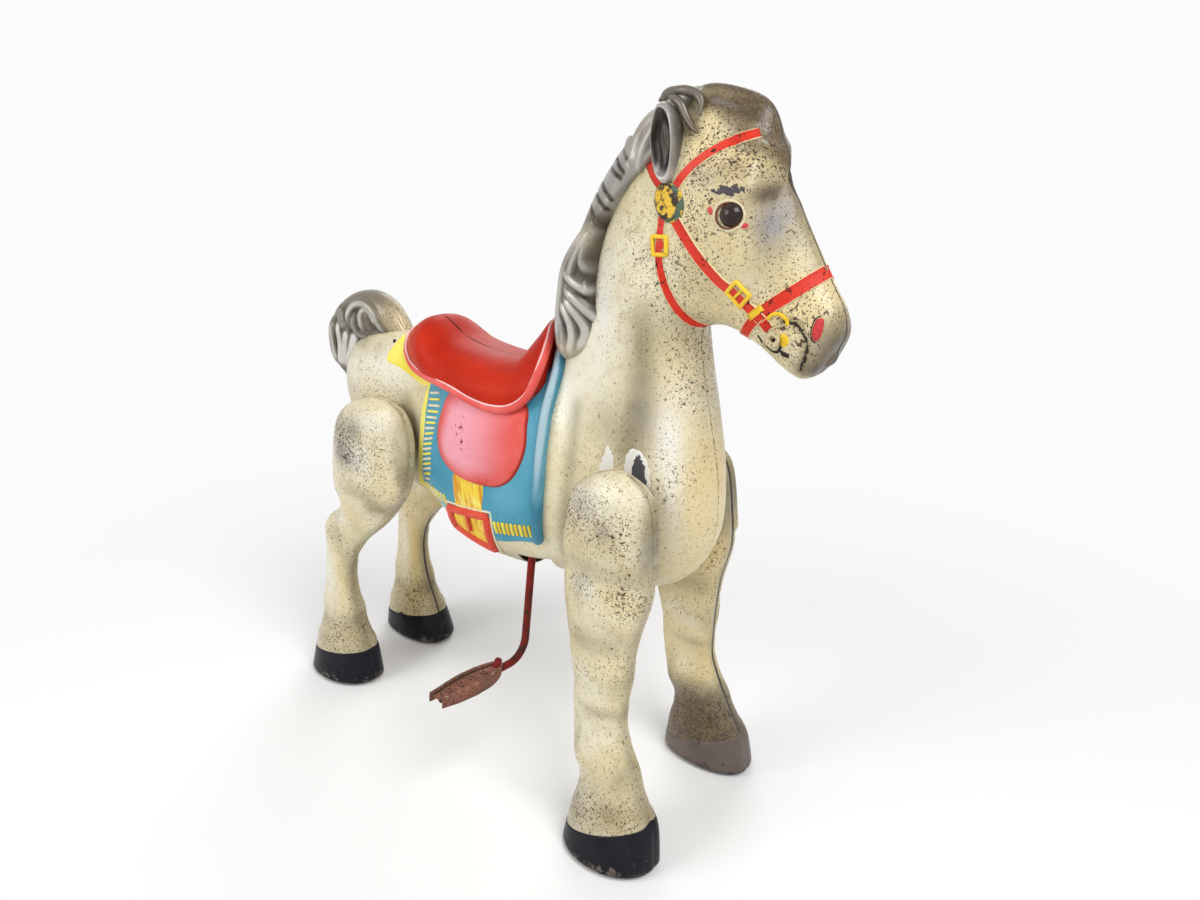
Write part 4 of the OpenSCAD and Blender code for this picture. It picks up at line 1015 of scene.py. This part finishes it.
def bead(name, points, r, mat, lift, closed=False, n=10, lin=False):
    """Round bar lying on the skin along side-view points (x, z), in straight lines if lin is set."""
    pts = np.array(points, float)
    if closed:
        pts = np.vstack([pts, pts[:1]])
    if lin:
        steps = np.linspace(0, 1, 9)[:-1]
        path = np.vstack([a + (b - a) * t for a, b in zip(pts, pts[1:]) for t in steps] + [pts[-1]])
    else:
        path = along(pts, 2.0)
    base = [drop(x, z) for x, z in path]
    ups = np.array([m for _, m in base])
    p3 = np.array([q for q, _ in base]) + ups * r * lift
    v, f = tube(p3, r, n)
    ends = [0] + list(range(len(p3))) + [-1]
    crest = ((v - np.repeat(p3[ends], n, 0)) * np.repeat(ups[ends], n, 0)).sum(1) / r
    # A rim colour, where the material has one, is a painted sheen along the crest, fading out downwards
    rim = 9 * smooth(crest, 1.0, .3) + 9 * smooth(v[:, 2], 430, 330)
    both(name, v, f, mat, {"rim": rim, "wear": .02})


def crack(name, points, r, seed):
    """Dark uneven line in the skin."""
    rng = np.random.default_rng(seed)
    path = along(np.array(points, float), 1.6)
    path = path + rng.normal(0, .45, path.shape)
    wide = r * np.clip(1 + np.convolve(rng.normal(0, .9, len(path)), [.25, .5, .25], "same"), .25, 1.8)
    v, f = tube(np.array([drop(x, z)[0] for x, z in path]), wide, 8)
    both(name, v, f, DARK, {"wear": .02})


def lock(name, points, r0, r1, sink=.6, n=14):
    """Tapered lock of hair along points (x, z, y), thin at both ends."""
    path = along([(x, y, z) for x, z, y in points], 2.2)
    s = np.linspace(0, 1, len(path))
    r = (r0 + (r1 - r0) * s) * np.clip(np.minimum(s / .12, (1 - s) / .22), .22, 1) ** .7
    v, f = tube(path - np.array([0, 1.0, 0]) * (r * sink)[:, None], r, n)
    c = np.repeat(np.vstack([path[:1], path, path[-1:]]), n, axis=0)
    up = (v[:, 1] - c[:, 1]) / np.repeat(np.concatenate([r[:1], r, r[-1:]]), n) + sink
    # ridge: a painted highlight on the lock's outer face
    masks = {"ridge": .27 * smooth(up, -.1, .95), "shade": .45, "rust": .2, "pale": 0}
    both(name, v, f, MANE_M, masks)


def girth_yellow():
    """Yellow webbing with orange streaks along it."""
    p = Paint("girth_yellow", Specular_IOR_Level=.15)
    turn = p.add("ShaderNodeMapping")
    turn.inputs["Rotation"].default_value = (0, .25, 0)
    turn.inputs["Scale"].default_value = (1, .3, .1)
    p.t.links.new(p.place, turn.inputs["Vector"])
    streak = p.noise(230, 3, .6, at=turn.outputs[0])
    base = p.mix(p.step(streak, .42, .6), (.70, .30, .02), (.90, .68, .06))
    base = p.mix(p.step(p.noise(40, 3), .5, .75), base, (.92, .78, .20))
    worn = p.step(p.plus(p.noise(150, 4, .7), p.attr("wear")), .66, .72)
    base = p.mix(worn, base, (.42, .06, .02))
    return p.done(base, p.plus(p.mul(streak, .2), .3), streak, .4, .0008)


PALE = (.70, .60, .36)
IRON = worn_enamel("bare_iron", (.07, .066, .074), (.19, .185, .20), (.16, .13, .10), .3, rough=.45)
PRIMER = worn_enamel("bare_primer", (.78, .76, .70), (.86, .85, .80), (.6, .52, .36), .1)
STRAP = worn_enamel("strap_red", (.62, .035, .018), (.70, .075, .055), (.035, .02, .015), .4, PALE, (.5, 1.2))
# The flap's pink middle colour is a painted highlight
FLAP = worn_enamel("flap_red", (.66, .07, .05), (.74, .13, .11), (.22, .03, .02), .2, (.36, .025, .015), (1.0, 4.0),
                   (.84, .36, .42), (8.0, 32.0))
WELT = worn_enamel("welt_red", (.70, .09, .075), (.78, .18, .16), (.3, .04, .03), .05, rough=.24)
# Pale pink of the painted highlight along the welt
WELT_HIGHLIGHT = worn_enamel("welt_highlight_pink", (.82, .50, .48), (.88, .68, .66), (.5, .1, .08), .05, rough=.3)
GIRTH = girth_yellow()
BLUE = worn_enamel("blanket_blue", (.065, .29, .41), (.12, .37, .49), (.03, .09, .13), .1, (.04, .15, .22),
                   (.5, 2.0))
# The blanket roll's rim colour is a painted sheen along its crest
NAVY = worn_enamel("blanket_roll_blue", (.05, .20, .29), (.13, .33, .42), (.02, .06, .09), .12, (.36, .50, .57),
                   (1.0, 8.0), rough=.2)
YELLOW = worn_enamel("trim_yellow", (.82, .52, .035), (.86, .63, .07), (.25, .14, .03), .15)
LEMON = worn_enamel("border_yellow", (.86, .72, .06), (.90, .80, .20), (.4, .3, .08), .05)
ROSETTE = worn_enamel("rosette_yellow", (.74, .44, .04), (.82, .56, .09), (.06, .045, .035), .7, (.10, .135, .10),
                      (2.6, 4.0))
ROSETTE_RIM = worn_enamel("rosette_green", (.07, .12, .085), (.14, .20, .13), (.68, .43, .05), .4)
CREAM_TRIM = worn_enamel("trim_cream", (.80, .73, .50), (.85, .79, .60), (.3, .2, .1), .4)
LID = worn_enamel("eyelid_cream", (.62, .52, .32), (.72, .64, .44), (.12, .08, .045), .7)
SCARLET = worn_enamel("buckle_red", (.68, .07, .04), (.74, .12, .08), (.25, .04, .02), .2)
PINK = worn_enamel("nostril_red", (.52, .04, .045), (.62, .09, .09), (.2, .03, .02), .25)
EYE_RING = worn_enamel("eye_ring_brown", (.12, .045, .03), (.24, .10, .06), (.03, .02, .015), .5)
# Dark lines and cracks, and painted shade in the holes
DARK = worn_enamel("dark_lines_and_hole_shade", (.03, .024, .02), (.06, .045, .035), (.02, .012, .01), .3, rough=.6)


def oval(x, z, rx, rz, n, skew=0):
    return [(x + rx * math.cos(a) - skew * math.sin(a), z + rz * math.sin(a))
            for a in np.linspace(0, 2 * np.pi, n, endpoint=False)]


# Bridle
for name, width, h, points in (
        ("brow_strap", 9.6, 1.2, [(206, 674, 41), (214, 685, 41), (224, 695, 40), (236, 704, 38), (248, 711, 35),
                                  (258, 715, 31), (268, 718, 26), (272, 719, 24)]),
        ("nose_strap", 12.6, 1.2, [(289, 575, 34), (298, 583, 35), (309, 592, 31), (319, 600, 25), (327, 607, 15),
                                   (332, 612, 5), (333, 613, .3)]),
        ("chin_strap", 10.4, 1.2, [(291, 577, 34), (284, 570, 32), (276, 561, 27), (269, 554, 16), (265, 551, .3)]),
        ("cheek_strap", 11, 1.4, [(205, 654, 43), (213, 645, 43), (228, 628, 44), (243, 612, 43), (256, 600, 40),
                                  (268, 593, 39), (283, 582, 36), (292, 574, 34), (300, 566, 31)]),
        ("throat_strap", 9, 1.2, [(195, 652, 41), (193, 626, 42), (193, 615, 42), (195, 603, 40), (200, 586, 36),
                                  (207, 570, 29), (214, 560, 18), (221, 556, 9), (224, 555, .3)]),
        ("poll_strap", 11, 1.2, [(172, 694, 30), (181, 684, 35), (192, 675, 39)])):
    strap(name, points, width, STRAP, h, flank=name == "brow_strap")
ROSETTE_X, ROSETTE_Z = 199, 663
rosette = oval(ROSETTE_X, ROSETTE_Z, 15, 17, 20, 3)
patch("rosette", rosette, ROSETTE, 2.2, 3, 1.4, 12, wear=.2)
rosette_seat = [(ROSETTE_X + (x - ROSETTE_X) * 1.12 + 2.2, ROSETTE_Z + (z - ROSETTE_Z) * 1.05) for x, z in rosette]
patch("rosette_seat", rosette_seat, ROSETTE_RIM, 1.5, 2, wear=.16)
bead("cheek_buckle", [(261, 593), (271, 603.5), (284, 593), (274, 582)], 1.8, YELLOW, .75,
     closed=True, lin=True)
bead("cheek_buckle_bar", [(267, 588), (278, 598)], 1.2, YELLOW, 1.0)
strap("cheek_keeper", [(282, 574, 34), (288, 579, 36), (294, 584, 36)], 6, YELLOW, 2.4)
bead("throat_buckle", [(185.5, 633.5), (201, 634), (201, 619), (187, 618)], 1.9, YELLOW, .7,
     closed=True, lin=True)
patch("throat_buckle_plate", [(189, 630), (198, 631), (198, 623), (190, 622)], STRAP, 2.2, 2)
bead("bit_ring", [(299, 575), (303, 579), (309, 579.5), (314, 576), (315, 571)], 1.6, YELLOW, .6)
patch("bit_cheek", [(309, 561), (314, 564), (318, 559), (316, 553), (309, 552)], YELLOW, 1.0, 1.4)
# A dark disc: painted shade inside the chin hole
patch("chin_hole", [(308, 548.5), (314, 548.5), (319, 546), (317, 543), (311, 543.5)], DARK, .25,
      .6, cell=1.5)
crack("mouth_line", MOUTH, .9, 11)
crack("jaw_line", JAW_CURL, .7, 12)
# A dark disc: painted shade inside the rein hole
patch("rein_hole", oval(304.5, 556, 3.2, 3.2, 12), DARK, .3, .5, cell=1.5)


def torn(points, size, seed):
    """The outline with a jagged edge."""
    rng = np.random.default_rng(seed)
    c = curve(np.vstack([points, points[:1]]), 5)[:-1]
    return c + rng.normal(0, size, c.shape)


# Scrape at the right shoulder
for name, mat, slot, h, rough, seed, points in (
        ("scrape_small", PRIMER, "cream_enamel", .2, 1.2, 3,
         [(136, 398), (137, 412), (140, 426), (144, 434), (149, 428), (152, 416), (150, 398)]),
        ("scrape_rim", PRIMER, "cream_enamel", .2, 1.0, 5,
         [(164, 398), (165, 414), (168, 428), (175, 436), (184, 436), (191, 428), (194, 413), (193, 396)]),
        ("scrape_bare", IRON, "black_enamel", .5, .8, 8,
         [(175, 396), (174, 410), (177, 422), (181, 431), (187, 427), (191, 414), (190, 396)])):
    patch(name, torn(points, rough, seed), mat, h, .5, cell=2.5, sharp=True, sides=(-1,))

# Eye rims, nostril
EYE_AT = (260.5, 655.5)
bead("eye_rim", oval(*EYE_AT, 12.4, 11.6, 28, 1.2), 1.7, LID, -.1, closed=True)
bead("eye_line", oval(*EYE_AT, 10.9, 10.6, 28), 1.0, EYE_RING, .6, closed=True)
patch("eye_corner_back", [(241, 661), (245, 662), (247, 657), (244, 655)], PINK, .8, .8, cell=1.5)
patch("eye_corner_front", [(271, 651), (277, 650), (276, 646), (271, 647)], PINK, .8, .8, cell=1.5)
patch("nostril", [(336.5, 577), (339.5, 579), (342.5, 577.5), (343.2, 571), (342.2, 563), (339.5, 560),
                  (336.5, 561), (335.2, 568.5)], PINK, 1.0, 1.6, .8, 4, cell=2)
bead("nostril_line", [(339.5, 580), (336, 578), (334.6, 568.5), (336, 560.3), (339.5, 559)], .5, DARK,
     .1)


def webbing(p):
    """Grooves along the girth."""
    return -.5 * np.exp(-((np.mod(p[:, 0] * .97 + p[:, 1] * .24, 11) - 5.5) / 1.2) ** 2)


# Saddle trim
patch("blanket", [(-112, 452), (-119, 424), (-124, 390), (-134, 355), (-148, 322), (-146, 309), (-117, 299),
                  (-85, 292), (-44, 284), (-9, 283), (29, 295), (61, 306), (67, 340), (69, 369), (68, 406),
                  (66, 440), (64, 466), (62, 490), (57, 503), (44, 490), (30, 474), (0, 456), (-60, 460)], BLUE,
      1.2, 1.5)
patch("blanket_border", [(-119, 451), (-128, 421), (-135, 388), (-146, 352), (-162, 318), (-169, 304), (-150, 302),
                         (-143, 322), (-131, 356), (-122, 390), (-117, 423), (-108, 449)], LEMON,
      .8, 1.5)
patch("girth", [(-62, 358), (-14, 360), (-19, 318), (-18, 285), (-25, 268), (-86, 272), (-80, 300), (-71, 312)],
      GIRTH, 2.0, 1.5, groove=webbing)
patch("saddle_flap", [(-78, 444), (-88, 421), (-93, 400), (-91, 378), (-80, 363), (-59, 354), (-34, 352), (-8, 354),
                      (13, 359), (31, 372), (42, 390), (47, 409), (45, 428), (38, 450), (0, 462), (-40, 462)], FLAP,
      2.2, 2.5, 4.5, 42, wear=lambda p: .03 + .12 * lump(p, (-46, 404), (24, 24)))
patch("crupper", [(-181, 489), (-190, 488), (-196, 483), (-206, 463), (-203, 455), (-180, 452), (-160, 447),
                  (-128, 440), (-120, 452), (-150, 470), (-172, 484)], LEMON, .8, 1.5)
# A dark disc: painted shade inside the crupper hole
patch("crupper_hole", [(-206, 480), (-201, 481), (-199, 478), (-203, 476)], DARK, .3, .6, cell=1.5)
bead("blanket_roll", [(60, 508), (64, 490), (65, 474), (65, 450), (67, 415), (67, 369), (60, 309)], 6.4, NAVY,
     .5, n=18)
bead("girth_buckle", [(-86, 303), (-13, 316), (-20, 268), (-92, 273)], 5.0, SCARLET, .35, closed=True,
     lin=True, n=14)
bead("girth_buckle_line", [(-92, 309), (-6, 323), (-14, 261), (-97, 266)], 1.6, CREAM_TRIM, .5,
     closed=True, lin=True)
bead("girth_prong", [(-47, 314), (-49, 300), (-51, 285)], 2.4, SCARLET, 1.3)
# Stitches along the blanket's rear edge: z and x at one end, x and z at the other
keys = np.array([[437, -112, -95, 440], [424, -112, -90, 427], [408, -115, -94, 411], [386, -119, -100, 391],
                 [362, -127, -107, 368], [337, -134, -112, 344], [322, -137, -122, 325]], float)
for i, z in enumerate(np.linspace(436, 324, 17)):
    x0, x1, z1 = (np.interp(z, keys[::-1, 0], keys[::-1, c]) for c in (1, 2, 3))
    bead(f"stitch_rear_{i}", [(x0, z), (x1 - 3, z1)], 1.5, LEMON if i % 2 else CREAM_TRIM, 1.0,
         n=8)
for i, x in enumerate(np.linspace(-2, 50, 9)):
    bead(f"stitch_low_{i}", [(x, 312 + .19 * (x + 2)), (x + .8, 299 + .21 * (x + 2))], 1.9,
         YELLOW if i % 2 else LEMON, .9, n=8)
for i, x in enumerate(np.linspace(-141, -94, 8)):
    bead(f"stitch_corner_{i}", [(x, 318 - .02 * (x + 140)), (x + 2, 307 - .06 * (x + 140))], 1.5,
         LEMON if i % 2 else CREAM_TRIM, 1.0, n=8)
WELT_Y = (0, 14, 29, 40, 49, 55, 58, 59, 59, 58, 55, 50, 42, 27, 12, 0)
welt = curve([(x, y, z) for (x, z), y in zip(WELT_PATH[:-1] + [(38, 532)], WELT_Y)], 10)
v, f = tube(welt, 4.8, 18)
both("seat_welt", v, f, WELT, {"wear": 0})
# A thin pale pink bar along the top of the welt: a painted highlight
line = welt + np.stack([0 * welt[:, 0], 2.4 * smooth(welt[:, 1], 0, 10), 4.2 + 0 * welt[:, 0]], 1)
v, f = tube(line, 1.1, 10)
both("seat_welt_highlight", v, f, WELT_HIGHLIGHT, {"wear": 0})
v, f = tube(curve([(-172, 0, 500), (-158, 0, 510.5), (-136, 0, 514.3), (-116, 0, 505.5), (-98, 0, 495.3),
                   (-57, 0, 487.2), (-20, 0, 486.2), (6, 0, 495.2), (22, 0, 517.2), (31, 0, 531)], 10), .9, 8)
piece("seat_seam", v, f, DARK, "body", {"wear": 0})

# Poll curls beside the forelock
for key, pts, r0, r1 in (
        ("a", [(168, 745, 12), (180, 751, 16), (190, 752, 20), (200, 752, 21), (209, 749, 19), (215, 742, 20),
               (217, 733, 24)], 5, 4),
        ("b", [(186, 747, 24), (198, 742, 27), (205, 732, 28), (212, 724, 29), (220, 719, 31)], 4.5, 3)):
    lock(f"poll_curl_{key}", pts, r0, r1)


# Ears: cupped leaves
def ear():
    rim = np.array([(185, 744), (182, 731), (182, 716), (186, 701), (193, 684), (203, 678), (211, 687), (212, 708),
                    (208, 725), (202, 737), (194, 744)], float)
    rim = np.array([193.0, 712.0]) + (rim - [196.5, 713.0]) * [.78, .94]
    ring = curve(np.vstack([rim[-1:], rim, rim[:2]]), 6)[6:-6][:-1]
    c = np.array([193.0, 713.0])
    levels = ((0.05, 39), (.3, 39.5), (.5, 41), (.66, 43), (.78, 45.6), (.86, 47.6), (.91, 48.4), (.97, 47.6),
              (1.02, 45), (1.03, 40), (1.0, 33), (.8, 24), (.5, 18))
    g = []
    for s, y in levels:
        w = c + (ring - c) * s
        tip = (w[:, 1] - 678) / 66
        g.append(np.stack([w[:, 0], y - 9 * tip ** 2 * smooth(s, 0, .5), w[:, 1]], 1))
    g = np.array(g)
    m, n = g.shape[:2]
    depth = np.repeat(np.arange(m)[:, None], n, 1)
    ridge = np.where(depth < 4, .0, np.where(depth < 6, .06, .5 - .35 * smooth(depth, 7, 10)))
    ridge = ridge + .35 * smooth(g[..., 2], 696, 682) * (depth > 3)
    both("ear", g, drum_faces(m, n), MANE_M, {"ridge": ridge, "shade": .05, "rust": .3, "pale": 0})


ear()


# Treads: inverted boat-shaped channels, open at the outer end
def tread(side):
    word = WORD[side]
    ahead = np.array([1, 0, 0])
    arm = np.array([0, math.cos(ROD_TILT), math.sin(ROD_TILT)])
    up = np.array([0, -math.sin(ROD_TILT), math.cos(ROD_TILT)])
    base = np.array([ROD_X, *ROD_LOW]) + arm * TREAD_START
    s = np.linspace(0, 1, 40)
    half = np.interp(s, [0, .04, .12, .3, .52, .75, .93, 1], [3, 7, 10, 13.6, 15, 13.2, 10.8, 10.4])
    wall = np.interp(s, [0, .06, .2, .8, 1], [2, -3, -6, -5, -3])
    g = []
    for along_s, w, lo in zip(s, half, wall):
        q = min(1, w / 11)
        row = [(-w, lo), (-w - .3, 2.0), (-w, 5.4), (-w + .5 * q, 7.8), (-w + 1.3 * q, 8.8), (-w + 2.3 * q, 8.8),
               (-w + 3.1 * q, 7.4), (-w + 3.7 * q, 5.4), (-w + 4.5 * q, 5.1), (-w + 5.4 * q, 5.6), (-w * .3, 5.9),
               (0, 6.0)]
        row = row + [(-a, b) for a, b in row[-2::-1]]
        g.append([base + arm * (TREAD_LENGTH * along_s) + ahead * a + up * b for a, b in row])
    g = np.array(g)
    groove = [9, 9, 9, 9, 8, 5, 2.4, .6, 0, 1.4, 9, 9]
    crest = [.05, .05, .08, .16, .2, .2, .1, 0, 0, .02, .05, .05]
    groove, crest = (np.tile(c + c[-2::-1], len(g)) for c in (groove, crest))

    def add(name, v, f, mat, masks):
        return piece(f"{name}_{word}", mirrored(v, side), f, mat, f"front_leg_{word}", masks)

    ob = add("tread_plate", g, grid_faces(*g.shape[:2]), TREAD, {"wear": crest, "rim": groove})
    pressed(ob, TREAD_SHEET, lambda f: f.normal.z)
    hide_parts(f"stirrup_tread_{word}")
    for k in range(4):
        c = base + arm * (STUD_FIRST + STUD_STEP * k) + up * 6.4
        turns = np.linspace(0, 2 * np.pi, 24, endpoint=False)
        ring = [c + STUD_R * (math.cos(t) * ahead + math.sin(t) * arm) for t in turns] + [c + 3.6 * ahead]
        v, f = tube(ring, 1.2, 8)
        masks = {"wear": .14, "rim": 3.0 * smooth((v - c) @ up, .2, 1.0)}
        add(f"tread_stud_{k}", v, f, TREAD, masks)
    v, f = tube([base + arm * a + up * b for a, b in ((6, 3), (4, 8), (2.5, 12))], [5, 4.8, 4.2], 16)
    add("tread_nub", v, f, ROD, {"wear": .02})


for side in SIDES:
    tread(side)

# Running gear and other solids keep their shape and get finishes
HIDDEN = worn_enamel("fork_black", (.012, .012, .014), (.03, .028, .028), (.06, .035, .02), .3, rough=.5)
FORK_DUSTY = worn_enamel("fork_dusty", (.10, .078, .066), (.19, .155, .135), (.045, .038, .034), .3, rough=.5)
FINISH = {"axle": STEEL, "nuts": STEEL, "bush": BRASS, "spring": SPRING, "crank": STEEL, "fork": HIDDEN,
          "pin": STEEL, "pawl": SPRING, "wheel": STEEL, "tyre": TYRE, "hanger": STEEL, "clips": STEEL,
          "eye": EYE, "eyelet": LID}
for name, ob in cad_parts.items():
    for key, mat in FINISH.items():
        if key in name.split("_"):
            ob.data.materials.clear()
            ob.data.materials.append(FORK_DUSTY if name == "front_fork_left" else mat)


# Floor, light and camera
FLOOR_HALF = 8
FLOOR_GLOW, GLOW_FROM, GLOW_TO = .965, .35, 1.3
SKY_LIGHT, SKY_SEEN = .36, .97
LAMPS = (("key", (1.7, -.6, 2.3), 1.4, 48), ("fill", (-1.2, -2.2, 1.6), 1.6, 34),
         ("back", (-1.0, 1.9, 1.9), 1.8, 24))
LAMP_AIM = Vector((0, 0, .4))
CAMERA_AT, LENS, SENSOR = (.636, -.688, .722), 26.4, 36
CAMERA_TURN, CAMERA_DOWN, CAMERA_ROLL = (math.radians(a) for a in (38.1, 20.1, .5))
DIRECT_RAYS = ("Is Camera Ray", "Is Glossy Ray", "Is Transmission Ray")


def floor():
    """Pale floor that glows into the white background where it is far away."""
    e = FLOOR_HALF
    me = bpy.data.meshes.new("floor")
    me.from_pydata([(-e, -e, 0), (e, -e, 0), (e, e, 0), (-e, e, 0)], [], [(0, 1, 2, 3)])
    p = Paint("floor_pale", Roughness=.9, Specular_IOR_Level=.1)
    p.done(p.mix(p.noise(1.5, 3), (.90, .90, .90), (.92, .92, .92)))
    glow = p.add("ShaderNodeEmission")
    glow.inputs["Color"].default_value = (FLOOR_GLOW, FLOOR_GLOW, FLOOR_GLOW, 1)
    far = p.add("ShaderNodeVectorMath", operation="LENGTH")
    p.t.links.new(p.place, far.inputs[0])
    eye, glossy, through = (p.add("ShaderNodeLightPath").outputs[ray] for ray in DIRECT_RAYS)
    blend = p.add("ShaderNodeMixShader")
    p.put(blend.inputs[0], p.mul(p.step(far.outputs["Value"], GLOW_FROM, GLOW_TO),
                                 p.most(p.most(eye, glossy), through)))
    p.t.links.new(p.b.outputs[0], blend.inputs[1])
    p.t.links.new(glow.outputs[0], blend.inputs[2])
    p.t.links.new(blend.outputs[0], p.t.nodes["Material Output"].inputs["Surface"])
    me.materials.append(p.m)
    link("floor", me)


def light():
    world = bpy.data.worlds.new("studio")
    bpy.context.scene.world = world
    world.use_nodes = True
    t = world.node_tree
    seen = t.nodes.new("ShaderNodeLightPath").outputs
    direct = seen[DIRECT_RAYS[0]]
    for ray in DIRECT_RAYS[1:]:
        either = t.nodes.new("ShaderNodeMath")
        either.operation = "MAXIMUM"
        t.links.new(direct, either.inputs[0])
        t.links.new(seen[ray], either.inputs[1])
        direct = either.outputs[0]
    level = t.nodes.new("ShaderNodeMapRange")
    level.inputs["To Min"].default_value = SKY_LIGHT
    level.inputs["To Max"].default_value = SKY_SEEN
    t.links.new(direct, level.inputs["Value"])
    sky = t.nodes["Background"]
    sky.inputs["Color"].default_value = (1, 1, 1, 1)
    t.links.new(level.outputs[0], sky.inputs["Strength"])
    for name, place, size, power in LAMPS:
        lamp = bpy.data.lights.new(name, "AREA")
        lamp.size = size
        lamp.energy = power
        ob = link(name, lamp)
        ob.location = place
        ob.rotation_euler = (LAMP_AIM - Vector(place)).to_track_quat("-Z", "Y").to_euler()


def camera():
    a, e = CAMERA_TURN, CAMERA_DOWN
    back = Vector((math.sin(a) * math.cos(e), -math.cos(a) * math.cos(e), math.sin(e)))
    right = Vector((math.cos(a), math.sin(a), 0))
    up = back.cross(right)
    r = right * math.cos(CAMERA_ROLL) + up * math.sin(CAMERA_ROLL)
    u = up * math.cos(CAMERA_ROLL) - right * math.sin(CAMERA_ROLL)
    cam = bpy.data.cameras.new("camera")
    cam.sensor_fit = "HORIZONTAL"
    cam.sensor_width = SENSOR
    cam.lens = LENS
    ob = link("camera", cam)
    ob.matrix_world = Matrix([(r[k], u[k], back[k], CAMERA_AT[k]) for k in range(3)] + [(0, 0, 0, 1)])
    bpy.context.scene.camera = ob


floor()
light()
camera()
bpy.context.scene.view_settings.view_transform = "Standard"
